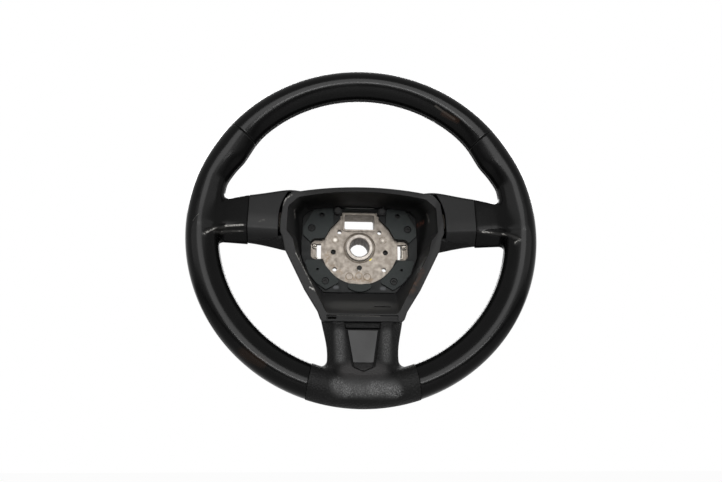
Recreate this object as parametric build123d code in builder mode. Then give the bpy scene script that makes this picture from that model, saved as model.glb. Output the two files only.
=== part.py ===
"""Car steering wheel with its airbag taken out, as separate pieces, in millimetres.

The wheel stands upright as it is fitted: X to the driver's right, Y away from the driver along the
column, Z to twelve o'clock. The origin is on the column axis, at the rear face of the spline bush.
Depths are measured back from the middle plane of the rim.
"""

import os
from math import asin, cos, degrees, exp, radians, sin

from build123d import *

# Rim
RIM_DIAMETER = 375.0  # over the leather
RIM_THICK = 34.4  # section in the plane of the rim
RIM_DEPTH = 32.8  # section along the axis
RING_WIDE = 11.0  # flat-sided steel ring inside the foam, across the rim
RING_DEEP = 10.0  # and along the axis
SEAM_ANGLE = 52.0  # leather seams, each side of twelve o'clock
THUMB_ANGLE = 60.0  # middle of the thumb rests, each side of twelve o'clock
THUMB_REACH = 3.7  # how far the thumb rests stand inwards
THUMB_RISE = 9.0  # degrees over which a thumb rest swells above its middle
THUMB_FALL = 5.5  # degrees over which it fades below its middle
HOLLOW_STEP = 12.5  # degrees from the thumb rest down to the hollow over the spoke
HOLLOW_WIDTH = 3.5  # degrees
HOLLOW_DEPTH = 1.5

# Depths behind the middle plane of the rim
DISH = 103.0  # rear face of the spline bush
LIP_DEPTH = 11.0  # front of the hub bowl
FLOOR_DEPTH = 76.0  # floor of the hub bowl
BACK_DEPTH = 95.0  # rear face of the rear cover

# Mouldings
WALL = 2.2
GAP = 0.3  # joint line between neighbouring mouldings
CORNER = 6.0  # outline corners of the hub mouldings
EDGE = 1.2  # rounding of moulded edges

# Side spokes
COVER_INNER = 92.0  # hub end of the spoke covers, from the axis
COVER_OUTER = 124.0  # where the covers meet the leather
COVER_SPLIT = 16.0  # depth at which spoke cover and rear cover meet
CREASE_Z = -0.5  # height of the crease along the front of the spokes
BROW_LEAN = 3.0  # upper front edge, behind the crease
BROW_DROP = 1.5  # and under the top
KEEL_SETBACK = 16.0  # lowest edge, behind the crease
SHOULDER_DROP = 10.0  # upper rear edge, under the top
TOP_SHARE = 0.65  # how far back the top runs, as a share of the section
SPOKE_ROUND = 4.0  # rounding along the spokes
ROOT_FILLET = 7.0  # where the spokes flow into the rim

# Lower spoke
TRIM_ANGLE = 18.5  # end of the lower trim on the rim, each side of six o'clock
TRIM_LEAN = 8.0  # degrees by which that end leans upright from the rim's own section
TRIM_SPARE = 4.0  # degrees of rim drawn beyond the end before it is cut
TRIM_TOP = -100.0  # height of the joint between hub bowl and lower trim
FLANK_SHARE = 0.35  # widest line of the lower spoke, as a share of its depth
BACK_SHARE = 0.8  # width of its back, as a share of the whole
TRIM_WALL = 2.2
TRIM_PROUD = 0.5  # how far the trim stands over the leather
TRIM_SPLIT = 24.0  # depth of the parting line at the top of the trim
PANEL_DEPTH = 5.0  # recess round the insert
PANEL_TOP = -98.0  # heights of the recess: top, end of the taper, tip
PANEL_END = -142.5
PANEL_TIP = -153.5
PANEL_WIDE = 19.8  # half widths at the top and at the end of the taper
PANEL_NARROW = 12.6
INSERT_TOP = -108.8
INSERT_END = -142.5
INSERT_THICK = 1.9
INSERT_MARGIN = 2.6  # groove beside the insert
PLINTH_RISE = 1.8  # raised floor under the insert
PLINTH_END = -150.0
LEDGE_HEIGHT = 4.6  # step across the recess above the insert
LEDGE_GAP = 3.0  # groove between the step and the insert
LEDGE_RISE = 3.4
LEDGE_MARGIN = 1.2  # groove beside the step
TIP_TUCK = 1.0  # the recess narrows towards its tip

# Hub
BORE_RADIUS = 11.0  # column seat
BUSH_RADIUS = 16.0
BUSH_LENGTH = 27.0
SPLINE_COUNT = 18
SPLINE_GROOVE = 0.6  # width and depth of each groove
PLATE_RADIUS = 45.5
PLATE_THICK = 7.0
PLATE_LAP = 2.5  # plate hidden under the bowl's floor
BOSS_RADIUS = 24.0
WINDOW_WIDTH = 36.0
WINDOW_TOP = 41.0
WINDOW_BOTTOM = 22.5
DUCT_WALL = 2.2
DUCT_LAND = 0.8  # plate left outside the duct's walls
DUCT_LENGTH = 26.0
DUCT_RISE = 1.7  # duct wall in front of the plate
DUCT_ROUND = 3.0  # outer corners of the duct
BOSS_SHORT = 3.0  # boss ends in front of the bush's rear face
ARM_THICK = 7.0
ARM_HEIGHT = 18.0
ARM_MIDDLE = 20.0  # height of the side arms above the axis
ARM_BEND = 14.0  # bends along the arms
ARM_SAG = 0.8  # arms lean forward before the bend
CLASP_WALL = 3.0  # arm ends cast round the ring
CLASP_SPAN = 4.0  # degrees each side of an arm
FIXING_RADIUS = 3.0
FIXING_SIDE = 31.0  # the two side holes, from the axis
FIXING_DROP = 5.5  # side holes below the axis
FIXING_LOW = 24.5  # third hole below the axis
FIXING_BOSS = 8.0  # radius of the long bosses behind the side holes
GUIDE_RADIUS = 2.6
GUIDES = [(24.0, 19.5), (29.2, -26.5)]
BUSH_CHAMFER = 0.6
MOUTH_CHAMFER = 1.4  # lead-in at the front of the column seat
MOAT_WIDTH = 3.0  # ring recessed round the bush
MOAT_DEPTH = 1.8
WINDOW_ROUND = 2.0

# Latch ears and their springs
EAR_MIDDLE = 49.0
EAR_WIDTH = 17.0
EAR_HEIGHT = 23.5
EAR_DROP = 3.8  # ear centre below the axis
SLOT_INNER = 45.6
SLOT_WIDTH = 5.0
SHELF_WIDTH = 5.6
POCKET_HEIGHT = 18.5
POCKET_SHIFT = 1.0  # pocket below the middle of the ear
SHELF_DEPTH = 4.4  # below the face of the plate
POST_RADIUS = 1.2
WIRE = 1.1  # diameter of the spring wire
COIL_TURNS = 3
COIL_CLEARANCE = 0.2  # between the coil and its post
LEG_LENGTH = 14.0  # from the post down to the hook
HOOK_REACH = 3.0

# Foot of the bowl: recessed band with a slot, and a slot across the ramp above it
FOOT_RECESS = 3.0
FOOT_SLOT = -32.0  # middle of the slot, to the left
FOOT_SLOT_WIDTH = 9.0
RAMP_SLOT = 23.0  # middle of the slot, to the right
RAMP_SLOT_WIDTH = 18.0
RAMP_SLOT_Z = -79.5
RAMP_SLOT_HEIGHT = 1.4
SLOT_DEPTH = 38.0  # behind the lip, through the ramp

# Carrier, buffers and screws
CARRIER_THICK = 3.5
LOBE_THICK = 3.0
CARRIER_MARGIN = 0.6
CARRIER_OPENING = 0.6  # clear of the visible plate
# Straight inner edges of the lobes over the plate, right half from the top: X, Z
CARRIER_MOUTH = [(23.0, 50.0), (23.0, 35.0), (35.0, 21.5), (41.5, 9.0), (60.0, 9.0)]
CARRIER_MOUTH += [(60.0, -17.5), (46.0, -17.5), (24.0, -43.0), (24.0, -50.0)]
RIB_LENGTH = 36.0  # rib between the buffers
RIB_WIDTH = 1.4
RIB_UP = 46.6
LOBE_ROUND = 3.0
UPPER_LOBE = [(32.0, 47.0), (54.5, 45.0), (67.2, 22.0), (67.2, 13.0), (58.0, 4.0), (30.0, 4.0)]
LOWER_LOBE = [(46.0, -17.5), (65.0, -17.5), (59.0, -34.5), (50.4, -45.0), (39.0, -53.0), (23.0, -43.8)]
TONGUE_HALF = 17.5
TONGUE_END = -55.0
LOBE_HOLE = (45.1, 37.8)
LOBE_HOLE_RADIUS = 3.0
PIN_HOLE = (49.0, -29.0)
PIN_HOLE_RADIUS = 1.6
BUFFER_RADIUS = 4.8
BUFFER_HEIGHT = 7.5
BUFFER_SIDE = 26.4
BUFFER_UP = 42.8
BUFFER_CHAMFER = 1.6
SCREW_RADIUS = 1.8
SCREW_HEAD_RADIUS = 3.6
SCREW_HEAD = 2.4
SHORT_SCREW = 8.0
LONG_SCREW = 11.0
POST_OUTER = 4.2  # moulded screw posts
FLOOR_POST = 2.2  # posts behind the floor, in front of the arms
RELEASE_HOLE = (59.0, -5.0)  # behind each latch, for a release tool
RELEASE_RADIUS = 4.0
REAR_OPENING = 51.0  # round opening behind the hub

# Worked out from the sizes above
RIM_RADIUS = (RIM_DIAMETER - RIM_THICK) / 2
RIM_INSIDE = RIM_RADIUS - RIM_THICK / 2
LIP_BACK = COVER_SPLIT
FLOOR_BACK = FLOOR_DEPTH + WALL
PLATE_DEPTH = FLOOR_BACK + GAP  # front of the hub plate, under the bowl's floor
REAR_INSIDE = BACK_DEPTH - WALL
WINDOW_MIDDLE = (WINDOW_TOP + WINDOW_BOTTOM) / 2
DUCT_WIDTH = WINDOW_WIDTH + 2 * DUCT_WALL
DUCT_HEIGHT = WINDOW_TOP - WINDOW_BOTTOM + 2 * DUCT_WALL
FAR = 2 * RIM_DIAMETER  # larger than the wheel, for half-space cuts
BACKWARD = (0, 1, 0)  # away from the driver

# Hub outlines, right half from the crown's end to the foot: X, Z
LIP_OUTER = [
    (79.5, 43.0),
    (87.0, 33.5),
    (89.8, 12.0),
    (89.8, -2.0),
    (87.3, -7.0),
    (83.8, -22.0),
    (61.8, -65.7),
    (47.2, -89.0),
    (43.4, TRIM_TOP + GAP),
]
LIP_INNER = [(71.0, 37.6), (82.0, 27.0), (82.8, -1.0), (75.5, -10.5), (72.0, -25.0), (37.7, -91.5)]
FLOOR = [(60.0, 45.0), (68.0, 36.0), (69.0, 5.0), (68.5, -12.0), (60.5, -35.0), (42.0, -56.0)]
REAR_MOUTH = [(79.0, 42.4), (89.2, 30.5), (88.8, -4.0), (83.2, -22.0), (41.5, TRIM_TOP + GAP)]
REAR = [(62.0, 50.0), (74.0, 38.0), (74.0, -13.0), (65.0, -38.0), (46.0, -62.0)]
LIP_OUTER_CROWN = 51.1
LIP_INNER_CROWN = 45.5
FLOOR_CROWN = 49.0
REAR_MOUTH_CROWN = 50.5
REAR_CROWN = 56.0

# Side spoke sections outwards from the hub: distance from the axis, front, back, top, bottom, heel
SIDE_STATIONS = [
    (60.0, 14.0, 90.0, 48.0, -21.0, 5.0),
    (76.0, 12.0, 91.0, 49.6, -21.0, 5.0),
    (COVER_INNER, 9.0, 60.0, 47.2, -19.5, 3.0),
    (COVER_OUTER, 4.0, 30.0, 39.5, -16.5, 1.5),
    (RIM_INSIDE - 4, -4.0, 19.0, 34.0, -17.5, 0.5),
    (RIM_RADIUS, -13.5, 9.5, 31.0, -17.0, 1.0),
]

# Lower spoke sections downwards from the hub: height, half width, half width of the ridge, front, back
LOWER_STATIONS = [
    (-48.0, 44.0, 34.0, 16.0, 90.0),
    (-66.0, 45.0, 33.0, 14.0, 91.0),
    (TRIM_TOP, 43.2, 31.5, 9.6, 50.0),
    (-115.0, 40.0, 28.0, 5.0, 37.0),
    (-132.0, 37.4, 25.5, -1.0, 28.0),
    (-RIM_INSIDE + 3, 38.5, 22.5, -8.0, 19.0),
    (-RIM_RADIUS, 38.0, 20.0, -14.0, 10.0),
]


def behind(depth):
    """Y of a depth behind the middle plane of the rim."""
    return depth - DISH


def facing(depth):
    """Sketch plane across the column at a depth, seen from the driver: X right, Z up."""
    return Plane.XZ.offset(-behind(depth))


def both(points):
    """The points and their mirror images."""
    return [(side * x, z) for x, z in points for side in (-1, 1)]


def rim_plane(angle, lean=0.0):
    """Section plane of the rim at an angle from twelve o'clock: x outwards, y towards the driver."""
    turn = radians(angle)
    tilt = radians(angle + lean)
    return Plane(
        origin=(RIM_RADIUS * sin(turn), behind(0), RIM_RADIUS * cos(turn)),
        x_dir=(sin(tilt), 0, cos(tilt)),
        z_dir=(cos(tilt), 0, -sin(tilt)),
    )


def thumb_reach(angle):
    """How far the inside of the rim stands inwards at an angle: thumb rest, then hollow."""
    below = abs(angle) - THUMB_ANGLE
    spread = THUMB_RISE if below < 0 else THUMB_FALL
    rest = THUMB_REACH * exp(-((below / spread) ** 2))
    hollow = HOLLOW_DEPTH * exp(-(((below - HOLLOW_STEP) / HOLLOW_WIDTH) ** 2))
    return rest - hollow


def grip_form(angles, lean=0.0):
    """Outside of the rim through the given angles, as one loft of its sections, the last one leaning."""
    with BuildPart() as form:
        for angle in angles:
            reach = thumb_reach(angle)
            with BuildSketch(rim_plane(angle, lean if angle == angles[-1] else 0.0)):
                with Locations((-reach / 2, 0)):
                    Ellipse((RIM_THICK + reach) / 2, RIM_DEPTH / 2)
        loft()
    return form.part


def rim_sector(half_thick, half_depth, middle, span):
    """Plain stretch of the rim about one angle, as a revolved ellipse."""
    with BuildPart() as sector:
        with BuildSketch(rim_plane(middle - span)):
            Ellipse(half_thick, half_depth)
        revolve(axis=Axis.Y, revolution_arc=2 * span)
    return sector.part


def ring_bar(wide, deep, middle, span):
    """Stretch of a flat-sided ring on the rim's middle line about one angle."""
    with BuildPart() as bar:
        with BuildSketch(rim_plane(middle - span)):
            Rectangle(wide, deep)
        revolve(axis=Axis.Y, revolution_arc=2 * span)
    return bar.part


def side_form(stations, inset=0.0):
    """Right side spoke through the given sections, drawn in by an inset."""
    with BuildPart() as form:
        for reach, front, back, top, bottom, heel in stations:
            with BuildSketch(Plane.YZ.offset(reach)) as section:
                Polygon(
                    (behind(front + BROW_LEAN), top - BROW_DROP),
                    (behind(front), CREASE_Z),
                    (behind(front + KEEL_SETBACK), bottom),
                    (behind(back), heel),
                    (behind(back), top - SHOULDER_DROP),
                    (behind(front + TOP_SHARE * (back - front)), top),
                    align=None,
                )
                if inset:
                    offset(amount=-inset, mode=Mode.REPLACE)
                else:
                    fillet(section.vertices(), SPOKE_ROUND)
        loft()
    return form.part


def lower_form(stations, inset=0.0):
    """Lower spoke through the given sections, drawn in by an inset."""
    with BuildPart() as form:
        for height, half, ridge, front, back in stations:
            flank = front + FLANK_SHARE * (back - front)
            with BuildSketch(Plane.XY.offset(height)) as section:
                Polygon(
                    (-ridge, behind(front)),
                    (ridge, behind(front)),
                    (half, behind(flank)),
                    (BACK_SHARE * half, behind(back)),
                    (-BACK_SHARE * half, behind(back)),
                    (-half, behind(flank)),
                    align=None,
                )
                if inset:
                    offset(amount=-inset, mode=Mode.REPLACE)
                else:
                    fillet(section.vertices(), SPOKE_ROUND)
        loft()
    return form.part


def shield(depth, points, crown, grow=0.0):
    """Hub outline at a depth: crowned top, straight sides, flat foot, rounded corners."""
    end_x, end_z = points[0]
    left = [(-x, z) for x, z in reversed(points)]
    with BuildSketch(facing(depth)) as outline:
        with BuildLine():
            ThreePointArc((-end_x, end_z), (0, crown), (end_x, end_z))
            Polyline(*points, *left)
        make_face()
        fillet(outline.vertices(), CORNER)
        if grow:
            offset(amount=grow, mode=Mode.REPLACE)
    return outline.sketch


def bowl_form(front, back):
    """Solid between two hub outlines."""
    with BuildPart() as form:
        add(front)
        add(back)
        loft()
    return form.part


def plate_outline(depth, grow=0.0):
    """Outline of the hub plate: disc, window block and two latch ears."""
    block_top = WINDOW_TOP + DUCT_WALL + DUCT_LAND
    with BuildSketch(facing(depth)) as outline:
        Circle(PLATE_RADIUS)
        with Locations((0, block_top)):
            Rectangle(FAR, FAR, align=(Align.CENTER, Align.MIN), mode=Mode.SUBTRACT)
        with Locations((0, block_top / 2)):
            Rectangle(DUCT_WIDTH + 2 * DUCT_LAND, block_top)
        with Locations((-EAR_MIDDLE, -EAR_DROP), (EAR_MIDDLE, -EAR_DROP)):
            RectangleRounded(EAR_WIDTH, EAR_HEIGHT, CORNER)
        if grow:
            offset(amount=grow, mode=Mode.REPLACE)
    return outline.sketch


def kept(part, plane, side):
    """The piece of a part on one side of a plane."""
    with BuildPart() as piece:
        add(part)
        split(bisect_by=plane, keep=side)
    return piece.part


def screw(length):
    """Plain pan-head screw pointing along +Z from under its head."""
    with BuildPart() as body:
        Cylinder(SCREW_HEAD_RADIUS, SCREW_HEAD, align=(Align.CENTER, Align.CENTER, Align.MAX))
        Cylinder(SCREW_RADIUS, length, align=(Align.CENTER, Align.CENTER, Align.MIN))
    return body.part


def screws(places, depth, length, forward):
    """Screws at X, Z places with their heads seated at a depth, driven forward or backward."""
    with BuildPart() as group:
        for x, z in places:
            way = (0, -1, 0) if forward else (0, 1, 0)
            seat = Plane(origin=(x, behind(depth), z), x_dir=(1, 0, 0), z_dir=way)
            add(seat * screw(length))
    return group.part


# Steel ring inside the rim
with BuildPart() as rim_ring:
    add(ring_bar(RING_WIDE, RING_DEEP, 0, 180))

# Steel bush with the column seat, splined inside and chamfered at its mouth
with BuildPart() as spline_bush:
    with BuildSketch(facing(DISH)):
        Circle(BUSH_RADIUS)
        Circle(BORE_RADIUS, mode=Mode.SUBTRACT)
    extrude(amount=BUSH_LENGTH)
    circles = spline_bush.edges().filter_by(GeomType.CIRCLE)
    mouth = circles.filter_by(lambda edge: edge.radius < BUSH_RADIUS)
    rims = circles.filter_by(lambda edge: edge.radius > BORE_RADIUS)
    chamfer(mouth.sort_by(Axis.Y)[0], MOUTH_CHAMFER)
    chamfer(rims, BUSH_CHAMFER)
    with BuildSketch(facing(DISH)):
        with PolarLocations(BORE_RADIUS, SPLINE_COUNT):
            Rectangle(2 * SPLINE_GROOVE, SPLINE_GROOVE)
    extrude(amount=BUSH_LENGTH, mode=Mode.SUBTRACT)

# Die-cast hub plate with window duct, latch ears and three arms out to the ring
POCKET_MIDDLE = -EAR_DROP - POCKET_SHIFT
SHELF_INNER = SLOT_INNER + SLOT_WIDTH
POST_X = SHELF_INNER + SHELF_WIDTH / 2
POST_Z = POCKET_MIDDLE + POCKET_HEIGHT / 2 - SHELF_WIDTH / 2
ARM_DEPTH = PLATE_DEPTH + PLATE_THICK
ARM_TILT = degrees(asin(ARM_MIDDLE / RIM_RADIUS))
CLASP_WIDE = RING_WIDE + 2 * CLASP_WALL
CLASP_DEEP = RING_DEEP + 2 * CLASP_WALL
SIDE_ARM = [
    (PLATE_RADIUS - ARM_THICK, ARM_DEPTH),
    (73.5, ARM_DEPTH - ARM_SAG),
    (97.0, 36.0),
    (RIM_RADIUS, 0.0),
]
LOWER_ARM = [
    (-PLATE_RADIUS + ARM_THICK, ARM_DEPTH),
    (-63.0, ARM_DEPTH - ARM_SAG),
    (-100.0, 36.0),
    (-RIM_RADIUS, 0.0),
]

with BuildPart() as hub_casting:
    extrude(plate_outline(PLATE_DEPTH, PLATE_LAP), amount=PLATE_THICK, dir=BACKWARD)
    with BuildSketch(facing(PLATE_DEPTH + PLATE_THICK)):
        Circle(BOSS_RADIUS)
        with Locations(*both([(FIXING_SIDE, -FIXING_DROP)])):
            Circle(FIXING_BOSS)
    extrude(amount=PLATE_DEPTH + PLATE_THICK - (DISH - BOSS_SHORT))
    with BuildSketch(facing(PLATE_DEPTH - DUCT_RISE)):
        with Locations((0, WINDOW_MIDDLE)):
            RectangleRounded(DUCT_WIDTH, DUCT_HEIGHT, DUCT_ROUND)
    extrude(amount=-DUCT_LENGTH)
    with BuildSketch(Plane.XY.offset(ARM_MIDDLE)):
        with BuildLine():
            FilletPolyline(*[(reach, behind(depth)) for reach, depth in SIDE_ARM], radius=ARM_BEND)
        trace(line_width=ARM_THICK)
    right_arm = extrude(amount=ARM_HEIGHT / 2, both=True)
    mirror(right_arm, about=Plane.YZ)
    with BuildSketch(Plane.YZ):
        with BuildLine():
            FilletPolyline(*[(behind(depth), height) for height, depth in LOWER_ARM], radius=ARM_BEND)
        trace(line_width=ARM_THICK)
    extrude(amount=ARM_HEIGHT / 2, both=True)
    for middle in (90 - ARM_TILT, 180, 270 + ARM_TILT):
        add(ring_bar(CLASP_WIDE, CLASP_DEEP, middle, CLASP_SPAN))
    add(rim_ring.part, mode=Mode.SUBTRACT)
    with BuildSketch(facing(0)):
        Circle(BUSH_RADIUS)
        with Locations((0, WINDOW_MIDDLE)):
            RectangleRounded(WINDOW_WIDTH, WINDOW_TOP - WINDOW_BOTTOM, WINDOW_ROUND)
        with Locations((-FIXING_SIDE, -FIXING_DROP), (FIXING_SIDE, -FIXING_DROP), (0, -FIXING_LOW)):
            Circle(FIXING_RADIUS)
        with Locations(*both(GUIDES)):
            Circle(GUIDE_RADIUS)
        with Locations(*both([(SLOT_INNER + SLOT_WIDTH / 2, POCKET_MIDDLE)])):
            Rectangle(SLOT_WIDTH, POCKET_HEIGHT)
    extrude(amount=-DISH, mode=Mode.SUBTRACT)
    with BuildSketch(facing(PLATE_DEPTH)):
        Circle(BUSH_RADIUS + MOAT_WIDTH)
        with Locations((0, WINDOW_MIDDLE)):
            RectangleRounded(DUCT_WIDTH, DUCT_HEIGHT, DUCT_ROUND, mode=Mode.SUBTRACT)
    extrude(amount=-MOAT_DEPTH, mode=Mode.SUBTRACT)
    with BuildSketch(facing(PLATE_DEPTH)):
        with Locations(*both([(POST_X, POCKET_MIDDLE)])):
            Rectangle(SHELF_WIDTH, POCKET_HEIGHT)
    extrude(amount=-SHELF_DEPTH, mode=Mode.SUBTRACT)
    with BuildSketch(facing(PLATE_DEPTH + SHELF_DEPTH)):
        with Locations(*both([(POST_X, POST_Z)])):
            Circle(POST_RADIUS)
    extrude(amount=SHELF_DEPTH)

# Whole spoke forms and their hollows, cut up below
SIDE_SPOKE = side_form(SIDE_STATIONS)
SIDE_HOLLOW = side_form(SIDE_STATIONS, WALL)
LOWER_SPOKE = lower_form(LOWER_STATIONS)
LOWER_HOLLOW = lower_form(LOWER_STATIONS, TRIM_WALL)

# Leather panels on their foam, moulded round the ring and the arms
TOP_STEPS = 10
LOWER_STEPS = 6
THUMB_SECTIONS = [THUMB_ANGLE + step for step in (-4.0, 0.0, 3.5, 7.0, 10.0, 13.0, 17.0, 22.0)]
TRIM_START = 180 - TRIM_ANGLE
TOP_ANGLES = [SEAM_ANGLE * (2 * step / TOP_STEPS - 1) for step in range(TOP_STEPS + 1)]
LOWER_ARC = TRIM_START - THUMB_SECTIONS[-1]
LOWER_ANGLES = [TRIM_START - LOWER_ARC * (1 - step / LOWER_STEPS) for step in range(1, LOWER_STEPS + 1)]

with BuildPart() as leather_grip_top:
    add(grip_form(TOP_ANGLES))
    add(rim_ring.part, mode=Mode.SUBTRACT)

with BuildPart() as leather_grip_right:
    add(grip_form([SEAM_ANGLE] + THUMB_SECTIONS + LOWER_ANGLES, TRIM_LEAN))
    add(kept(SIDE_SPOKE, Plane.YZ.offset(COVER_OUTER + GAP), Keep.TOP))
    fillet(leather_grip_right.edges(Select.NEW), ROOT_FILLET)
    add(rim_ring.part, mode=Mode.SUBTRACT)
    add(hub_casting.part, mode=Mode.SUBTRACT)

with BuildPart() as leather_grip_left:
    mirror(leather_grip_right.part, about=Plane.YZ)

# Foam under the lower trim
FOAM_THICK = RIM_THICK / 2 - TRIM_WALL
FOAM_DEPTH = RIM_DEPTH / 2 - TRIM_WALL

with BuildPart() as bottom_foam:
    add(rim_sector(FOAM_THICK, FOAM_DEPTH, 180, TRIM_ANGLE - TRIM_SPARE / 2))
    add(rim_ring.part, mode=Mode.SUBTRACT)
    add(hub_casting.part, mode=Mode.SUBTRACT)

# Smooth covers on the side spokes, closed at the hub end along a curved edge
COVER_END = Plane.YZ.offset(COVER_OUTER)
COVER_CURVE = [(COVER_INNER, 10.0), (COVER_INNER - 2.6, 30.0), (COVER_INNER - 10.0, 46.0)]
HUB_SPOKE = kept(SIDE_SPOKE, COVER_END, Keep.BOTTOM)
HUB_HOLLOW = kept(SIDE_HOLLOW, COVER_END, Keep.BOTTOM)

with BuildPart() as right_spoke_cover:
    add(kept(HUB_SPOKE, facing(COVER_SPLIT), Keep.TOP))
    with BuildSketch(facing(COVER_SPLIT)):
        with BuildLine():
            ThreePointArc(*COVER_CURVE)
            Polyline(COVER_CURVE[2], (COVER_CURVE[2][0], FAR), (0, FAR))
            Polyline((0, FAR), (0, -FAR), (COVER_INNER, -FAR), COVER_CURVE[0])
        make_face()
    extrude(amount=FAR, mode=Mode.SUBTRACT)
    add(kept(HUB_HOLLOW, Plane.YZ.offset(COVER_INNER + WALL), Keep.TOP), mode=Mode.SUBTRACT)

with BuildPart() as left_spoke_cover:
    mirror(right_spoke_cover.part, about=Plane.YZ)

# Screws: carrier to bowl, rear cover to bowl, lower trim halves together
CARRIER_SEAT = FLOOR_DEPTH - CARRIER_THICK
CARRIER_SCREWS = [(57.0, 21.2), (39.7, -42.7)]
REAR_SCREWS = [(55.0, 38.0), (32.0, -48.0)]
TRIM_SCREWS = [(25.0, -118.0)]
TRIM_SEAT = 27.0

with BuildPart() as carrier_screws:
    add(screws(both(CARRIER_SCREWS), CARRIER_SEAT, SHORT_SCREW, False))

with BuildPart() as rear_cover_screws:
    add(screws(both(REAR_SCREWS), BACK_DEPTH, LONG_SCREW, True))

with BuildPart() as lower_trim_screws:
    add(screws(both(TRIM_SCREWS), TRIM_SEAT, LONG_SCREW, True))

# Black moulded well with its front lip, slotted foot and screw posts
FOOT_Z = (LIP_INNER[-1][1] + LIP_OUTER[-1][1]) / 2
FOOT_HEIGHT = LIP_INNER[-1][1] - LIP_OUTER[-1][1]

MOUTH_INSIDE = shield(LIP_DEPTH, LIP_INNER, LIP_INNER_CROWN)
MOUTH_OUTSIDE = shield(LIP_DEPTH, LIP_INNER, LIP_INNER_CROWN, WALL)
FLOOR_INSIDE = shield(FLOOR_DEPTH, FLOOR, FLOOR_CROWN)
FLOOR_OUTSIDE = shield(FLOOR_BACK, FLOOR, FLOOR_CROWN, WALL)

with BuildPart() as hub_bowl:
    add(bowl_form(MOUTH_OUTSIDE, FLOOR_OUTSIDE))
    extrude(shield(LIP_DEPTH, LIP_OUTER, LIP_OUTER_CROWN), amount=LIP_BACK - LIP_DEPTH, dir=BACKWARD)
    fillet(hub_bowl.edges().group_by(Axis.Y)[0], EDGE)
    add(bowl_form(MOUTH_INSIDE, FLOOR_INSIDE), mode=Mode.SUBTRACT)
    extrude(plate_outline(FLOOR_DEPTH), amount=WALL, dir=BACKWARD, mode=Mode.SUBTRACT)
    with BuildSketch(facing(LIP_DEPTH)):
        with Locations((0, FOOT_Z)):
            Rectangle(2 * LIP_INNER[-1][0], FOOT_HEIGHT - WALL)
    extrude(amount=-FOOT_RECESS, mode=Mode.SUBTRACT)
    with BuildSketch(facing(LIP_DEPTH)):
        with Locations((FOOT_SLOT, FOOT_Z)):
            Rectangle(FOOT_SLOT_WIDTH, WALL)
        with Locations((RAMP_SLOT, RAMP_SLOT_Z)):
            Rectangle(RAMP_SLOT_WIDTH, RAMP_SLOT_HEIGHT)
    extrude(amount=-SLOT_DEPTH, mode=Mode.SUBTRACT)
    with BuildSketch(facing(FLOOR_BACK)):
        with Locations(*both(REAR_SCREWS)):
            Circle(POST_OUTER)
    extrude(amount=FLOOR_BACK - REAR_INSIDE)
    with BuildSketch(facing(FLOOR_BACK)):
        with Locations(*both(CARRIER_SCREWS)):
            Circle(POST_OUTER)
    extrude(amount=-FLOOR_POST)
    add(carrier_screws.part, mode=Mode.SUBTRACT)
    add(rear_cover_screws.part, mode=Mode.SUBTRACT)

# Shell behind the hub and the spokes, open round the column
REAR_FRONT = COVER_SPLIT + GAP
LOWER_TOP = Plane.XY.offset(TRIM_TOP + GAP)


def rear_form(side, lower, inset):
    """Solid form of the rear cover from its bowl and spokes, drawn in by an inset."""
    front = shield(REAR_FRONT, REAR_MOUTH, REAR_MOUTH_CROWN, -inset)
    back = shield(BACK_DEPTH - inset, REAR, REAR_CROWN, -inset)
    spoke = kept(side, facing(REAR_FRONT), Keep.BOTTOM)
    with BuildPart() as form:
        add(bowl_form(front, back))
        add(spoke)
        mirror(spoke, about=Plane.YZ)
        add(kept(kept(lower, facing(REAR_FRONT), Keep.BOTTOM), LOWER_TOP, Keep.TOP))
    return form.part


with BuildPart() as rear_cover:
    add(rear_form(HUB_SPOKE, LOWER_SPOKE, 0.0))
    add(rear_form(HUB_HOLLOW, LOWER_HOLLOW, WALL), mode=Mode.SUBTRACT)
    with BuildSketch(facing(BACK_DEPTH)):
        Circle(REAR_OPENING)
        with Locations(*both([RELEASE_HOLE])):
            Circle(RELEASE_RADIUS)
    extrude(amount=2 * WALL, both=True, mode=Mode.SUBTRACT)
    add(rear_cover_screws.part, mode=Mode.SUBTRACT)

# Lower trim in two halves round the lower arm and the bottom of the rim
TRIM_REACH = RIM_RADIUS + TRIM_TOP
TRIM_PARTING = Plane(
    origin=(0, behind(0), -RIM_RADIUS), x_dir=(1, 0, 0), z_dir=(0, -TRIM_REACH, TRIM_SPLIT)
)

TRIM_SPAN = TRIM_ANGLE + TRIM_SPARE
TRIM_TUBE = rim_sector(RIM_THICK / 2 + TRIM_PROUD, RIM_DEPTH / 2 + TRIM_PROUD, 180, TRIM_SPAN)
TRIM_RIGHT = kept(TRIM_TUBE, rim_plane(TRIM_START, TRIM_LEAN), Keep.TOP)

with BuildPart() as trim_outside:
    add(kept(TRIM_RIGHT, rim_plane(-TRIM_START, -TRIM_LEAN), Keep.BOTTOM))
    add(kept(LOWER_SPOKE, Plane.XY.offset(TRIM_TOP), Keep.BOTTOM))
    fillet(trim_outside.edges(Select.NEW), ROOT_FILLET)

with BuildPart() as trim_shell:
    add(trim_outside.part)
    add(LOWER_HOLLOW, mode=Mode.SUBTRACT)
    add(rim_sector(FOAM_THICK, FOAM_DEPTH, 180, TRIM_SPAN), mode=Mode.SUBTRACT)

# The insert lies in a tapered recess along the sloping front of the spoke
SLOPE_TOP = LOWER_STATIONS[2]
SLOPE_END = LOWER_STATIONS[4]
SLOPE = (SLOPE_TOP[3] - SLOPE_END[3]) / (SLOPE_TOP[0] - SLOPE_END[0])
PANEL_PLANE = Plane(
    origin=(0, behind(SLOPE_TOP[3]), SLOPE_TOP[0]), x_dir=(1, 0, 0), z_dir=(0, -1, SLOPE)
)
STRETCH = (1 + SLOPE**2) ** 0.5  # length along the slope for each millimetre of height


def down_slope(height):
    """Place along the panel's slope of a height."""
    return (height - SLOPE_TOP[0]) * STRETCH


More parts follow.
